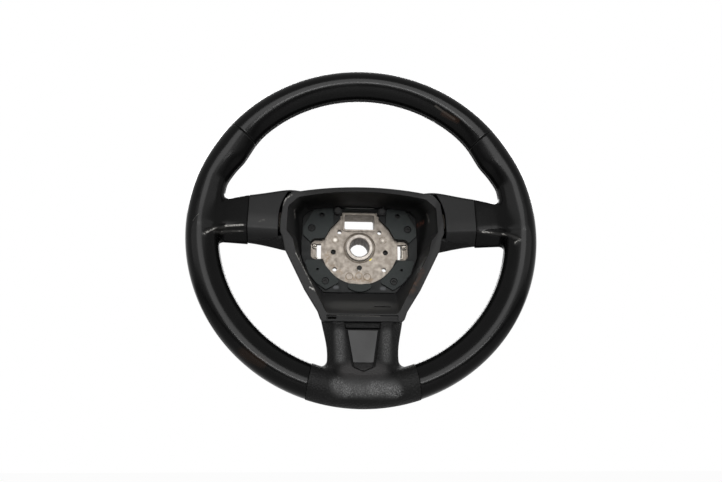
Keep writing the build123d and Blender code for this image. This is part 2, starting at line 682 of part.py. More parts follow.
def panel_outline(depth, grow=0.0):
    """Tapered outline of the recess, a depth under the sloping front."""
    right = [
        (PANEL_WIDE, down_slope(PANEL_TOP)),
        (PANEL_NARROW, down_slope(PANEL_END)),
        (PANEL_NARROW - TIP_TUCK, down_slope((PANEL_END + PANEL_TIP) / 2)),
    ]
    left = [(-x, v) for x, v in reversed(right)]
    with BuildSketch(PANEL_PLANE.offset(-depth)) as outline:
        Polygon(*right, (0, down_slope(PANEL_TIP)), *left, align=None)
        if grow:
            offset(amount=grow, kind=Kind.INTERSECTION, mode=Mode.REPLACE)
    return outline.sketch


def band(depth, top, bottom, margin):
    """Stretch of the recess between two heights, drawn in from its sides."""
    with BuildSketch(PANEL_PLANE.offset(-depth)) as stretch:
        add(PANEL_PLANE.offset(-depth).to_local_coords(panel_outline(depth, -margin)))
        with Locations((0, down_slope((top + bottom) / 2))):
            Rectangle(4 * PANEL_WIDE, (top - bottom) * STRETCH, mode=Mode.INTERSECT)
    return stretch.sketch


def trim_posts(radius, front, back):
    """Screw posts inside the trim between two depths, trimmed to its outside."""
    with BuildPart() as posts:
        with BuildSketch(facing(back)):
            with Locations(*both(TRIM_SCREWS)):
                Circle(radius)
        extrude(amount=back - front)
        add(trim_outside.part, mode=Mode.INTERSECT)
    return posts.part


with BuildPart() as panel_backing:
    extrude(panel_outline(0, TRIM_WALL), amount=PANEL_DEPTH + TRIM_WALL, dir=(0, 1, -SLOPE))
    add(trim_outside.part, mode=Mode.INTERSECT)

LEDGE_BOTTOM = INSERT_TOP + LEDGE_GAP
TOWARDS_DRIVER = (0, -1, SLOPE)  # square to the sloping front

with BuildPart() as lower_spoke_trim:
    add(kept(trim_shell.part, TRIM_PARTING, Keep.TOP))
    add(trim_posts(POST_OUTER, -RIM_DEPTH, TRIM_SEAT - WALL))
    add(panel_backing.part)
    extrude(panel_outline(PANEL_DEPTH), amount=2 * RIM_DEPTH, dir=TOWARDS_DRIVER, mode=Mode.SUBTRACT)
    ledge = band(PANEL_DEPTH, LEDGE_BOTTOM + LEDGE_HEIGHT, LEDGE_BOTTOM, LEDGE_MARGIN)
    extrude(ledge, amount=LEDGE_RISE, dir=TOWARDS_DRIVER)
    plinth = band(PANEL_DEPTH, INSERT_TOP, PLINTH_END, INSERT_MARGIN)
    extrude(plinth, amount=PLINTH_RISE, dir=TOWARDS_DRIVER)
    add(lower_trim_screws.part, mode=Mode.SUBTRACT)
    add(bottom_foam.part, mode=Mode.SUBTRACT)

with BuildPart() as lower_trim_back:
    add(kept(trim_shell.part, TRIM_PARTING, Keep.BOTTOM))
    add(trim_posts(POST_OUTER + WALL, TRIM_SEAT - WALL, BACK_DEPTH))
    with BuildSketch(facing(TRIM_SEAT)):
        with Locations(*both(TRIM_SCREWS)):
            Circle(POST_OUTER)
    extrude(amount=TRIM_SEAT - BACK_DEPTH, mode=Mode.SUBTRACT)
    add(lower_trim_screws.part, mode=Mode.SUBTRACT)

with BuildPart() as decor_insert:
    sheet = band(PANEL_DEPTH - PLINTH_RISE, INSERT_TOP, INSERT_END, INSERT_MARGIN)
    extrude(sheet, amount=INSERT_THICK, dir=TOWARDS_DRIVER)
    fillet(decor_insert.edges().filter_by(Axis.X), EDGE / 3)

# Black carrier on the bowl's floor round the hub plate
CARRIER_FRONT = facing(CARRIER_SEAT - LOBE_THICK)

with BuildPart() as contact_carrier:
    extrude(shield(CARRIER_SEAT, FLOOR, FLOOR_CROWN, -CARRIER_MARGIN), amount=CARRIER_THICK, dir=BACKWARD)
    with BuildSketch(facing(CARRIER_SEAT)) as lobes:
        for outline in (UPPER_LOBE, LOWER_LOBE):
            Polygon(*outline, align=None)
            Polygon(*[(-x, z) for x, z in reversed(outline)], align=None)
        with BuildLine():
            ThreePointArc((-TONGUE_HALF, -PLATE_RADIUS), (0, TONGUE_END), (TONGUE_HALF, -PLATE_RADIUS))
            Line((TONGUE_HALF, -PLATE_RADIUS), (-TONGUE_HALF, -PLATE_RADIUS))
        make_face()
        fillet(lobes.vertices(), LOBE_ROUND)
        with Locations(*both(CARRIER_SCREWS)):
            Circle(POST_OUTER, mode=Mode.SUBTRACT)
    extrude(amount=LOBE_THICK)
    with BuildSketch(facing(CARRIER_SEAT)):
        with Locations((0, RIB_UP)):
            Rectangle(RIB_LENGTH, RIB_WIDTH)
    extrude(amount=LOBE_THICK)
    with BuildSketch(CARRIER_FRONT):
        add(CARRIER_FRONT.to_local_coords(plate_outline(CARRIER_SEAT - LOBE_THICK, CARRIER_OPENING)))
        Polygon(*CARRIER_MOUTH, *[(-x, z) for x, z in reversed(CARRIER_MOUTH)], align=None, mode=Mode.INTERSECT)
    extrude(amount=-CARRIER_THICK - LOBE_THICK, mode=Mode.SUBTRACT)
    with BuildSketch(CARRIER_FRONT):
        with Locations(*both([LOBE_HOLE])):
            Circle(LOBE_HOLE_RADIUS)
        with Locations(*both([PIN_HOLE])):
            Circle(PIN_HOLE_RADIUS)
    extrude(amount=-CARRIER_THICK - LOBE_THICK, mode=Mode.SUBTRACT)
    add(carrier_screws.part, mode=Mode.SUBTRACT)

# Rubber buffers on the carrier's upper bar
with BuildPart() as stop_buffers:
    with BuildSketch(facing(CARRIER_SEAT)):
        with Locations((-BUFFER_SIDE, BUFFER_UP), (BUFFER_SIDE, BUFFER_UP)):
            Circle(BUFFER_RADIUS)
    extrude(amount=BUFFER_HEIGHT)
    chamfer(stop_buffers.edges().group_by(Axis.Y)[0], BUFFER_CHAMFER)

# Spring catches: a close-wound coil on the ear's post and a leg with a hook over the slot
COIL_INSIDE = POST_RADIUS + COIL_CLEARANCE
COIL_FLOOR = PLATE_DEPTH + SHELF_DEPTH - GAP
LEG_DEPTH = COIL_FLOOR - COIL_TURNS * WIRE / 2
LEG_X = POST_X - COIL_INSIDE - WIRE / 2
HOOK_Z = POST_Z - LEG_LENGTH

with BuildPart() as right_latch_spring:
    with BuildLine(facing(LEG_DEPTH)) as leg:
        Polyline((LEG_X, POST_Z), (LEG_X, HOOK_Z), (LEG_X - HOOK_REACH, HOOK_Z))
    with BuildSketch(Plane.XY.offset(POST_Z)):
        with Locations((LEG_X, behind(LEG_DEPTH))):
            Circle(WIRE / 2)
    sweep(path=leg.line, transition=Transition.RIGHT)
    with BuildSketch(facing(COIL_FLOOR)):
        with Locations((POST_X, POST_Z)):
            Circle(COIL_INSIDE + WIRE)
    extrude(amount=COIL_TURNS * WIRE)
    with BuildSketch(facing(COIL_FLOOR)):
        with Locations((POST_X, POST_Z)):
            Circle(COIL_INSIDE)
    extrude(amount=COIL_TURNS * WIRE, mode=Mode.SUBTRACT)

with BuildPart() as left_latch_spring:
    mirror(right_latch_spring.part, about=Plane.YZ)

# One file for each piece
PIECES = {
    "rim_ring": rim_ring,
    "spline_bush": spline_bush,
    "hub_casting": hub_casting,
    "leather_grip_top": leather_grip_top,
    "leather_grip_left": leather_grip_left,
    "leather_grip_right": leather_grip_right,
    "bottom_foam": bottom_foam,
    "left_spoke_cover": left_spoke_cover,
    "right_spoke_cover": right_spoke_cover,
    "hub_bowl": hub_bowl,
    "rear_cover": rear_cover,
    "lower_spoke_trim": lower_spoke_trim,
    "lower_trim_back": lower_trim_back,
    "decor_insert": decor_insert,
    "contact_carrier": contact_carrier,
    "stop_buffers": stop_buffers,
    "left_latch_spring": left_latch_spring,
    "right_latch_spring": right_latch_spring,
    "carrier_screws": carrier_screws,
    "rear_cover_screws": rear_cover_screws,
    "lower_trim_screws": lower_trim_screws,
}

os.makedirs("parts", exist_ok=True)
for name, piece in PIECES.items():
    piece.part.label = name
    export_step(piece.part, f"parts/{name}.step")
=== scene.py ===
"""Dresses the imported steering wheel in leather, stitching, moulded plastic and cast metal.

The wheel stands as it is fitted: X to the driver's right, Y away from the driver along the column, Z to
twelve o'clock, in metres. Sizes in the classes below are in millimetres, and depths are measured back
from the middle plane of the rim.
"""

import logging
import math
from dataclasses import dataclass
from enum import Enum

import bmesh
import bpy
import numpy as np
from bpy.types import Material, Node, NodeSocket, NodeTree, Object, World, bpy_prop_collection
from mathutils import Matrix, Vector


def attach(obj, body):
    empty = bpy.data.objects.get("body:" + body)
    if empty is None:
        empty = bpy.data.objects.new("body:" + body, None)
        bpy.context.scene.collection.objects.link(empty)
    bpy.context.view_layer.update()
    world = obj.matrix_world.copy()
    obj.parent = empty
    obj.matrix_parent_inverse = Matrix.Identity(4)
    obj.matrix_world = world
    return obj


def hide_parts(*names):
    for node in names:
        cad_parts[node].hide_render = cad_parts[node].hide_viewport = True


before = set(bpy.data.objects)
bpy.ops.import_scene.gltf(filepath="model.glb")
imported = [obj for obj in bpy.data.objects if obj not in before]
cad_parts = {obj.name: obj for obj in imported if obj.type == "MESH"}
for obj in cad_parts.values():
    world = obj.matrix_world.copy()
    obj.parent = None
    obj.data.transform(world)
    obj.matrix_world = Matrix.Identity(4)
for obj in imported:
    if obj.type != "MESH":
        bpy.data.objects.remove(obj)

LOG = logging.getLogger("steering_wheel")
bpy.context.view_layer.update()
MM = 0.001
DISH = 103.0  # depth of the frame's origin behind the rim's middle plane
WELD = 0.00001  # points of a solid that lie closer than this, in metres, become one
CRISP = 30.0  # edges of a solid that turn by more degrees than this stay crisp
# Values of the noise, or of the grain's height, between which an effect comes in
BREAK_SPAN = (0.38, 0.62)
SHADE_SPAN = (0.35, 0.68)
ROUGH_SPAN = (0.3, 0.7)
CROWN_SPAN = (0.6, 0.9)
RUBBED_SPAN = (0.46, 0.60)
SUNK_FADE = 0.4  # millimetres on each side of the step to a sunk face


def linear(code: str) -> tuple[float, float, float, float]:
    """Turn an sRGB hex colour into linear light.

    Args:
        code: Colour such as "#1c1c1c".

    Returns:
        Red, green, blue and alpha for a shader socket.
    """
    parts = [int(code[i : i + 2], 16) / 255 for i in (1, 3, 5)]
    red, green, blue = (c / 12.92 if c <= 0.04045 else ((c + 0.055) / 1.055) ** 2.4 for c in parts)
    return red, green, blue, 1.0


def add_node(tree: NodeTree, kind: str, sockets: dict | list | tuple = (), **settings: object) -> Node:
    """Add one node with its settings, values and links.

    Args:
        tree: Node tree that takes the node.
        kind: Blender's type name of the node.
        sockets: Its inputs, in order or by name or number. Each is a value, a socket that feeds it, or a
            node whose first output does.
        settings: Properties of the node, such as an operation.

    Returns:
        The new node.
    """
    node = tree.nodes.new(kind)
    for name, value in settings.items():
        setattr(node, name, value)
    for key, value in sockets.items() if isinstance(sockets, dict) else enumerate(sockets):
        source = value.outputs[0] if isinstance(value, Node) else value
        if isinstance(source, NodeSocket):
            tree.links.new(source, node.inputs[key])
        else:
            node.inputs[key].default_value = value
    return node


def bare_tree(owner: Material | World) -> NodeTree:
    """Switch a material or a world to nodes, with none in it yet.

    Args:
        owner: The material or world.

    Returns:
        Its empty node tree.
    """
    owner.use_nodes = True
    owner.node_tree.nodes.clear()
    return owner.node_tree


class Grain(Enum):
    """How a surface was made, which decides the relief that catches the light."""

    HIDE = "pebbled hide"
    SPARK = "spark-eroded mould texture"
    PEBBLE = "coarse moulded pebble"
    CAST = "sand-like skin of a casting"
    TURNED = "fine turning lines"
    DRAWN = "drawn wire"


@dataclass(frozen=True)
class Mark:
    """Scuff, stain, smear, painted shade or painted highlight along a short line on a surface, or the
    outline of a round pad.

    The ends are in the wheel's frame, in millimetres. The line is full over the core's share of its width
    and fades out from there. Noise of about the given size breaks it up, more where it is sparse, and not
    at all where the size is 0. Without an end the mark is a spot, which a ring radius turns into a circle.
    """

    start: tuple[float, float, float]
    end: tuple[float, ...]
    width: float
    colour: str
    strength: float
    breakup: float = 0.0
    ring: float = 0.0
    sparse: float = 0.0
    core: float = 0.25

    def mask(self, tree: NodeTree, place: NodeSocket) -> Node:
        """Build the nodes that say where the mark shows.

        Args:
            tree: Material's node tree.
            place: Object coordinates, in metres.

        Returns:
            Node that gives 0, no mark, up to the mark's strength.
        """
        vector, number = "ShaderNodeVectorMath", "ShaderNodeMath"
        first = Vector(self.start) * MM
        along = Vector(self.end or self.start) * MM - first
        square = max(along.length_squared, 1e-12)
        offset = add_node(tree, vector, [place, first], operation="SUBTRACT")
        share = add_node(tree, vector, [offset, along / square], operation="DOT_PRODUCT")
        held = add_node(tree, "ShaderNodeClamp", [share.outputs["Value"]])
        foot = add_node(tree, vector, {0: along, "Scale": held}, operation="SCALE")
        away = add_node(tree, vector, [offset, foot], operation="DISTANCE").outputs["Value"]
        if self.ring:
            away = add_node(tree, number, [away, self.ring * MM], operation="SUBTRACT")
            away = add_node(tree, number, [away], operation="ABSOLUTE")
        edge = [away, self.width * MM, self.width * MM * self.core, 0.0, self.strength]
        fade = add_node(tree, "ShaderNodeMapRange", edge, interpolation_type="SMOOTHSTEP")
        if not self.breakup:
            return fade
        specks = {"Vector": place, "Scale": 1 / (self.breakup * MM), "Detail": 4.0}
        noise = add_node(tree, "ShaderNodeTexNoise", specks)
        span = [noise, BREAK_SPAN[0] + self.sparse, BREAK_SPAN[1] + self.sparse / 3]
        broken = add_node(tree, "ShaderNodeMapRange", span)
        return add_node(tree, number, [fade, broken], operation="MULTIPLY")


@dataclass(frozen=True)
class Finish:
    """One real material: its colours, its gloss and the relief of its surface.

    Sizes are in millimetres. The shade is a second colour that drifts over the surface in patches. Worn is
    the colour of rubbed pleats, crowns that of rubbed grain, and sunk a painted shade on all that lies
    behind a plane.
    The edge is the radius that corners seem to have.
    """

    name: str
    colour: str
    shade: str
    roughness: float
    grain: Grain
    grain_size: float
    grain_depth: float
    patch: float = 25.0
    rough_drift: float = 0.08
    metallic: float = 0.0
    specular: float = 0.5
    worn: str = ""
    crowns: str = ""
    bump: float = 0.5
    edge: float = 0.0
    sunk: str = ""
    sunk_from: float = 0.0
    marks: tuple[Mark, ...] = ()

    def relief(self, tree: NodeTree, place: NodeSocket) -> Node:
        """Build the height pattern of the grain.

        Args:
            tree: Material's node tree.
            place: Object coordinates, in metres.

        Returns:
            Node that gives the height for a Bump node.
        """
        scale = 1 / (self.grain_size * MM)
        spots = {"Vector": place, "Scale": scale}
        if self.grain is Grain.HIDE:
            cells = add_node(tree, "ShaderNodeTexVoronoi", {**spots, "Randomness": 0.9})
            folds = add_node(tree, "ShaderNodeTexNoise", {**spots, "Scale": scale / 9, "Detail": 2.0})
            return add_node(tree, "ShaderNodeMath", [cells, 0.35, folds], operation="MULTIPLY_ADD")
        if self.grain is Grain.PEBBLE:
            cells = add_node(tree, "ShaderNodeTexVoronoi", {**spots, "Randomness": 1.0})
            return add_node(tree, "ShaderNodeMath", [1.0, cells], operation="SUBTRACT")
        if self.grain in (Grain.TURNED, Grain.DRAWN):
            stretch = (1.0, 0.04, 1.0) if self.grain is Grain.DRAWN else (0.06, 1.0, 0.06)
            drawn = add_node(tree, "ShaderNodeMapping", {"Vector": place, "Scale": stretch})
            return add_node(tree, "ShaderNodeTexNoise", {**spots, "Vector": drawn, "Detail": 3.0})
        detail = 8.0 if self.grain is Grain.CAST else 2.0
        return add_node(tree, "ShaderNodeTexNoise", {**spots, "Detail": detail})

    def material(self) -> Material:
        """Build the node material.

        Returns:
            The material, ready to be put on a piece.
        """
        made = bpy.data.materials.new(self.name)
        tree = bare_tree(made)
        span = "ShaderNodeMapRange"
        place = add_node(tree, "ShaderNodeTexCoord").outputs["Object"]
        clouds = {"Vector": place, "Scale": 1 / (self.patch * MM), "Detail": 6.0}
        drift = add_node(tree, "ShaderNodeTexNoise", clouds)
        spread = add_node(tree, span, [drift, *SHADE_SPAN])
        low, high = self.roughness - self.rough_drift, self.roughness + self.rough_drift
        rough = add_node(tree, span, [drift, *ROUGH_SPAN, low, high])
        height = self.relief(tree, place)
        coats = [(spread, self.shade)]
        if self.worn:
            rubbed = add_node(tree, "ShaderNodeAttribute", attribute_name="worn").outputs["Fac"]
            coats.append((rubbed, self.worn))
        # Painted shade on all that lies behind the plane at sunk_from
        if self.sunk:
            back = add_node(tree, "ShaderNodeSeparateXYZ", [place]).outputs["Y"]
            step = [back, (self.sunk_from - SUNK_FADE) * MM, (self.sunk_from + SUNK_FADE) * MM]
            coats.append((add_node(tree, span, step), self.sunk))
        if self.crowns:
            peak = add_node(tree, span, [height, *CROWN_SPAN])
            where = add_node(tree, span, [drift, *RUBBED_SPAN])
            rubbed = add_node(tree, "ShaderNodeMath", [peak, where], operation="MULTIPLY")
            coats.append((rubbed, self.crowns))
        coats += [(mark.mask(tree, place), mark.colour) for mark in self.marks]
        tone = linear(self.colour)
        for share, colour in coats:
            both = {0: share, 6: tone, 7: linear(colour)}
            tone = add_node(tree, "ShaderNodeMix", both, data_type="RGBA").outputs[2]
        relief = {"Strength": self.bump, "Distance": self.grain_depth * MM, "Height": height}
        if self.edge:
            relief["Normal"] = add_node(tree, "ShaderNodeBevel", {"Radius": self.edge * MM}, samples=4)
        bump = add_node(tree, "ShaderNodeBump", relief)
        skin = {"Base Color": tone, "Roughness": rough, "Normal": bump}
        skin |= {"Metallic": self.metallic, "Specular IOR Level": self.specular}
        shader = add_node(tree, "ShaderNodeBsdfPrincipled", skin)
        add_node(tree, "ShaderNodeOutputMaterial", {"Surface": shader})
        return made


# Smooth chrome-tanned hide with a thin coat: near black, a tight light along the rim, rubbed at the spokes
LEATHER = Finish(
    "black_nappa_leather", "#040404", "#060606", 0.18, Grain.HIDE, 1.1, 0.02,
    patch=40, rough_drift=0.03, specular=0.085, bump=0.05, worn="#5a5957",
    marks=(
        Mark((-164.7, -118, -14.6), (-155.6, -111.6, -6.6), 1.3, "#9a9894", 0.8, 1.6),
        Mark((-155.6, -111.6, -6.6), (-143.8, -104.2, -1.4), 0.9, "#7a7874", 0.7, 1.0),
        Mark((-146, -105, -1.8), (-128.6, -100.2, 1.3), 1.3, "#a3a19d", 0.9, 0.7),
        Mark((-150, -103, -7.6), (-128.7, -96.5, -4.5), 0.9, "#6a6865", 0.7, 1.0),
        Mark((130.5, -99.7, -1.5), (151.5, -106.3, -5.9), 1.4, "#9a9894", 0.9, 0.7),
        Mark((151.5, -106.3, -5.9), (165.2, -118, -15), 1.0, "#7a7874", 0.7, 1.2),
        Mark((165.2, -118, -15), (160.5, -115.8, -18.3), 1.1, "#a3a19d", 0.8, 1.6),
        Mark((-177.4, -119.1, -1.4), (-171.9, -120.2, 6.0), 0.8, "#4c4b49", 0.8, 1.5),
        Mark((81, -116.8, 141.5), (102, -116, 126), 1.8, "#46433f", 0.4),
        Mark((90, -115.2, 133), (105, -116.5, 124), 4.5, "#2c1e16", 0.35),
        Mark((-118.4, -117.6, -136.3), (-99.7, -119.3, -145.3), 8.0, "#1c130d", 0.5),
        Mark((-28.6, -118.8, 165.6), (-27.2, -118.8, 165.8), 0.8, "#020202", 0.8),
    ),
)
# Bonded polyester thread: matt black with a faint twist
THREAD = Finish("bonded_polyester_thread", "#1d1d1d", "#2a2a2a", 0.6, Grain.DRAWN, 0.3, 0.05, specular=0.2)
# Soft-coated ABS: dark, with a dull sheen, a painted highlight along the crease that is brighter on the
# left, and a pale smear on the left
COVER = Finish(
    "soft_coated_abs", "#0f0f0f", "#131313", 0.5, Grain.SPARK, 0.5, 0.02,
    patch=30, specular=0.1, edge=1.2,
    marks=(
        # Painted highlight along each cover's crease, lighter on the left spoke than on the right
        Mark((-92, -97, 4), (-124, -100, 4), 16, "#222222", 0.9, core=0.2),
        Mark((92, -97, 3), (124, -100, 3), 13, "#181818", 0.9, core=0.2),
        Mark((-112, -95.6, 7), (-107, -95, 9), 1.6, "#55534f", 0.5, 1.2),
    ),
)
# Injection-moulded polypropylene with a worn satin skin: painted shade on its walls and right lip, painted
# light on its ramp, scuffed edges, brown on the right
BOWL = Finish(
    "satin_polypropylene", "#202020", "#252525", 0.55, Grain.SPARK, 0.6, 0.03,
    patch=35, specular=0.08,
    marks=(
        # Painted light on the lower ramp, then painted shade on the right lip, the upper wall, the lip's top
        # and the side walls
        Mark((-24, -66, -78), (24, -66, -78), 22, "#3a3a39", 0.8),
        Mark((88, -92, 30), (52, -92, -68), 9, "#121212", 0.7, core=0.5),
        Mark((-58, -64, 42), (58, -64, 42), 30, "#070707", 0.95),
        Mark((-58, -86, 48), (58, -86, 48), 18, "#0a0a0a", 0.7),
        *(Mark((s * 75, -58, 34), (s * 68, -30, -16), 17, "#070707", 0.85) for s in (-1, 1)),
        Mark((-87.6, -91.6, 27.2), (-84.5, -92, 35.5), 1.1, "#8a8884", 0.7, 2.0),
        Mark((-84.5, -92, 35.5), (-78.2, -92, 40), 1.1, "#8a8884", 0.7, 2.0),
        Mark((-71.8, -92, -26.5), (-50.4, -92, -67.3), 0.8, "#7c7a76", 0.7, 2.5),
        Mark((-55.8, -92, -63.9), (-50.4, -92, -67.3), 1.1, "#b4b2ae", 0.9, 2.0),
        Mark((51.2, -90.4, -64.9), (61.4, -89.9, -45), 8, "#3d2c22", 0.6, 4.0),
        Mark((68.9, -29.9, 27.1), (73.4, -51, 24.9), 4, "#523228", 0.7, 2.5),
        Mark((57.6, -27, -10.5), (62, -27, -12), 4, "#40271f", 0.6, 2.0),
        Mark((-75.5, -67.7, 31.6), (-75.6, -61.1, 24.7), 3.4, "#72706d", 0.7, 3.0),
        Mark((76, -64.5, 29.7), (77.2, -68.5, 19.8), 2.8, "#62605d", 0.7, 3.0),
        Mark((-23.1, -80.2, -85), (9.4, -83, -86.6), 0.7, "#5c5a56", 0.6, 1.5),
        Mark((-34, -89, -92.5), (18, -89, -93.1), 0.9, "#6c6a66", 0.7, 1.0),
        # Painted shade along the foot's step, darkest in the slot at the left
        Mark((-37, -89, -95.8), (37, -89, -95.8), 2.6, "#141414", 0.8),
        Mark((-37, -89, -94.6), (-28, -89, -94.6), 2.2, "#080808", 0.95, core=0.6),
    ),
)
# Grained polypropylene, spark-eroded mould: matt pebble with pale rubbed crowns, drawn coarse enough to
# show, with painted sheen and glints on its ridges and lower front and painted shade in its grooves
GRAINED = Finish(
    "grained_polypropylene", "#070707", "#0a0a0a", 0.55, Grain.PEBBLE, 1.9, 0.5,
    patch=16, specular=0.1, edge=1.0, crowns="#191919", bump=0.8,
    marks=(
        # Painted sheen on the ridges beside the insert, then painted glints speckled over them
        Mark((-25, -97.5, -112), (-23, -105, -140), 8.5, "#2d2d2d", 0.75),
        Mark((25, -97.5, -112), (23, -105, -140), 8.5, "#2a2a2a", 0.75),
        Mark((-24.5, -97.5, -113), (-23, -105, -140), 6.5, "#606060", 0.6, 0.9, sparse=0.09),
        Mark((24.5, -97.5, -113), (23, -105, -140), 6.0, "#5a5a5a", 0.55, 0.9, sparse=0.09),
        # Painted sheen below the insert and on the lower front, with painted glints speckled over it
        Mark((-14, -112, -153), (14, -112, -153), 15.0, "#2e2d2d", 0.75),
        Mark((-23, -119.6, -168), (26, -119.6, -169), 13.0, "#343434", 0.75),
        Mark((-27, -119, -164), (-18, -119.8, -172), 9.0, "#6e6e6e", 0.5, 0.9, sparse=0.1),
        Mark((-15, -119.8, -171), (9, -119.8, -172), 8.0, "#666666", 0.5, 0.9, sparse=0.1),
        Mark((10, -119.6, -168), (31, -119.6, -172), 9.0, "#7a7a7a", 0.55, 0.9, sparse=0.1),
        # Painted shade in the grooves beside the insert and under its lower end
        *(Mark((s * 18.3, -89.2, -103), (s * 12.4, -104, -148), 2.6, "#080808", 0.9) for s in (-1, 1)),
        Mark((-8, -103.6, -148.5), (8, -103.6, -148.5), 5.0, "#0b0b0b", 0.8),
    ),
)
# Satin painted ABS: flat dark grey, smoother than the moulding round it
INSERT = Finish(
    "satin_painted_abs", "#363636", "#3b3b3b", 0.42, Grain.SPARK, 0.4, 0.01, patch=20, specular=0.15
)
# Glass-filled nylon: dark, faintly green, slightly streaked, with painted shade between its raised lobes and
# in its screw seats, and a painted highlight along its top bar
CARRIER = Finish(
    "glass_filled_nylon", "#212424", "#272a29", 0.55, Grain.SPARK, 0.7, 0.03,
    # Sunk: painted shade on the floor between the raised lobes
    patch=9, specular=0.08, edge=0.6, sunk="#191a1a", sunk_from=-32.0,
    marks=(
        Mark((-28.5, -30.5, -49.5), (-26, -30.5, -49.5), 3.2, "#4a4b4d", 0.8),
        Mark((26, -30.5, -50.3), (28.5, -30.5, -50.3), 3.2, "#4a4b4d", 0.8),
        # Painted highlight along the top edge of the carrier's upper bar
        Mark((-16, -33.5, 46.9), (16, -33.5, 46.9), 0.9, "#5a5a58", 0.8),
        # Painted shade inside the screw seats
        *(Mark((x, -32.8, 21.2), (x, -29, 21.2), 4.8, "#050505", 1.0, core=0.9) for x in (-57, 57)),
    ),
)
# Die-cast aluminium left as cast: warm pale grey with a cloudy skin, pads, stains and a dab of yellow paint,
# with painted shade in its fixing holes and in the moat round the bush
CASTING = Finish(
    "die_cast_aluminium", "#857e76", "#716a62", 0.55, Grain.CAST, 1.6, 0.10,
    patch=5, rough_drift=0.1, metallic=0.35, specular=0.1, edge=0.6,
    marks=(
        Mark((-36, -24.5, -8), (-40, -24.5, -16), 6.0, "#6f5f4d", 0.6, 2.5),
        Mark((-22, -24.5, -30), (-33, -24.5, -22), 5.0, "#766654", 0.5, 2.5),
        Mark((-14, -24.5, -38), (14, -24.5, -39), 4.0, "#75634e", 0.6, 2.0),
        Mark((-28.9, -24.5, 9.6), (), 3.0, "#d6d1c8", 0.8),
        Mark((-28.9, -24.5, 9.6), (), 1.0, "#5a5148", 0.9, 2.0, 4.0),
        Mark((28.0, -24.5, 9.6), (), 2.4, "#c4beb4", 0.6),
        Mark((28.0, -24.5, 9.6), (), 1.0, "#5a5148", 0.9, 2.0, 4.2),
        Mark((-11.8, -24.5, -35), (), 0.9, "#4e4236", 0.65, 0.0, 4.1),
        Mark((-0.6, -24.5, -34.3), (), 0.8, "#6a5a48", 0.6, 0.0, 3.9),
        Mark((9.2, -24.5, -35.4), (), 0.9, "#4e4236", 0.65, 0.0, 4.1),
        Mark((34.5, -24.5, -17), (33, -24.5, -14.5), 4.2, "#6f675f", 0.7),
        Mark((12.6, -24.5, -14.4), (13.4, -24.5, -13.6), 1.7, "#c8b93c", 0.9),
        # Painted shade on the walls of the fixing holes
        *(
            Mark((x, -23.4, z), (x, 0, z), 3.4, "#060505", 1.0, core=0.92)
            for x, z in ((-31, -5.5), (31, -5.5), (0, -24.5))
        ),
        # Painted shade in the moat round the bush
        Mark((0, -22.7, 0), (), 1.6, "#4a4239", 0.8, 0.0, 17.8),
    ),
)
# Turned free-cutting steel: dull grey face, with painted shade inside the splined seat
BUSH = Finish(
    "turned_steel", "#8f8982", "#7d766f", 0.5, Grain.TURNED, 0.5, 0.03,
    patch=6, metallic=0.4,
    # Painted shade inside the bore
    marks=(Mark((0, -24, 0), (0, 0, 0), 12.2, "#463d34", 0.9, core=0.9),),
)
# Patented spring wire: bright grey with drawing lines
SPRING = Finish(
    "drawn_spring_steel", "#b0aba2", "#8f8a82", 0.32, Grain.DRAWN, 0.3, 0.02, patch=4, metallic=0.95
)
# Black zinc plated steel: dark, semi-gloss
SCREW = Finish(
    "black_zinc_steel", "#0a0a0a", "#0e0f0f", 0.5, Grain.TURNED, 0.4, 0.02, patch=3, specular=0.1
)
# Moulded nitrile rubber: matt black
RUBBER = Finish("nitrile_rubber", "#1c1c1c", "#252525", 0.7, Grain.SPARK, 0.5, 0.03, patch=4, specular=0.25)
# Moulded polyurethane foam skin: dull black
FOAM = Finish(
    "polyurethane_foam", "#1a1a1a", "#202020", 0.8, Grain.SPARK, 0.8, 0.05, patch=12, specular=0.2
)
# Hot-rolled steel bar: dark mill skin
RING = Finish("mill_steel", "#5a5855", "#4a4846", 0.5, Grain.CAST, 1.5, 0.03, patch=15, metallic=0.8)


def weld_copy(node: str, name: str) -> Object:
    """Copy a CAD node as one welded mesh with smooth curves and crisp edges.

    Args:
        node: Name of the CAD node.
        name: Name of the new piece.

    Returns:
        The new piece, not yet riding on a body.
    """
    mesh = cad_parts[node].data.copy()
    mesh.name = name
    shape = bmesh.new()
    shape.from_mesh(mesh)
    bmesh.ops.remove_doubles(shape, verts=shape.verts, dist=WELD)
    bmesh.ops.dissolve_degenerate(shape, edges=shape.edges, dist=WELD / 2)
    shape.to_mesh(mesh)
    shape.free()
    if mesh.has_custom_normals:
        mesh.attributes.remove(mesh.attributes["custom_normal"])
    mesh.shade_smooth()
    mesh.set_sharp_from_angle(angle=math.radians(CRISP))
    mesh.materials.clear()
    return place(bpy.data.objects.new(name, mesh))


def place(piece: Object) -> Object:
    """Link a new object to the scene and return it."""
    bpy.context.scene.collection.objects.link(piece)
    return piece


def settle(piece: Object, material: Material, slot: str, body: str, *nodes: str) -> None:
    """Give a piece its finish and its place in the frame.

    Args:
        piece: The finished piece, at the origin.
        material: Its finish.
        slot: Material slot of the record that it stands for. Not used.
        body: CAD body that it rides on.
        nodes: CAD nodes that it replaces.
    """
    piece.data.materials.clear()
    piece.data.materials.append(material)
    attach(piece, body)
    if nodes:
        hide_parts(*nodes)
    LOG.info("%s rides on %s with %s", piece.name, body, material.name)


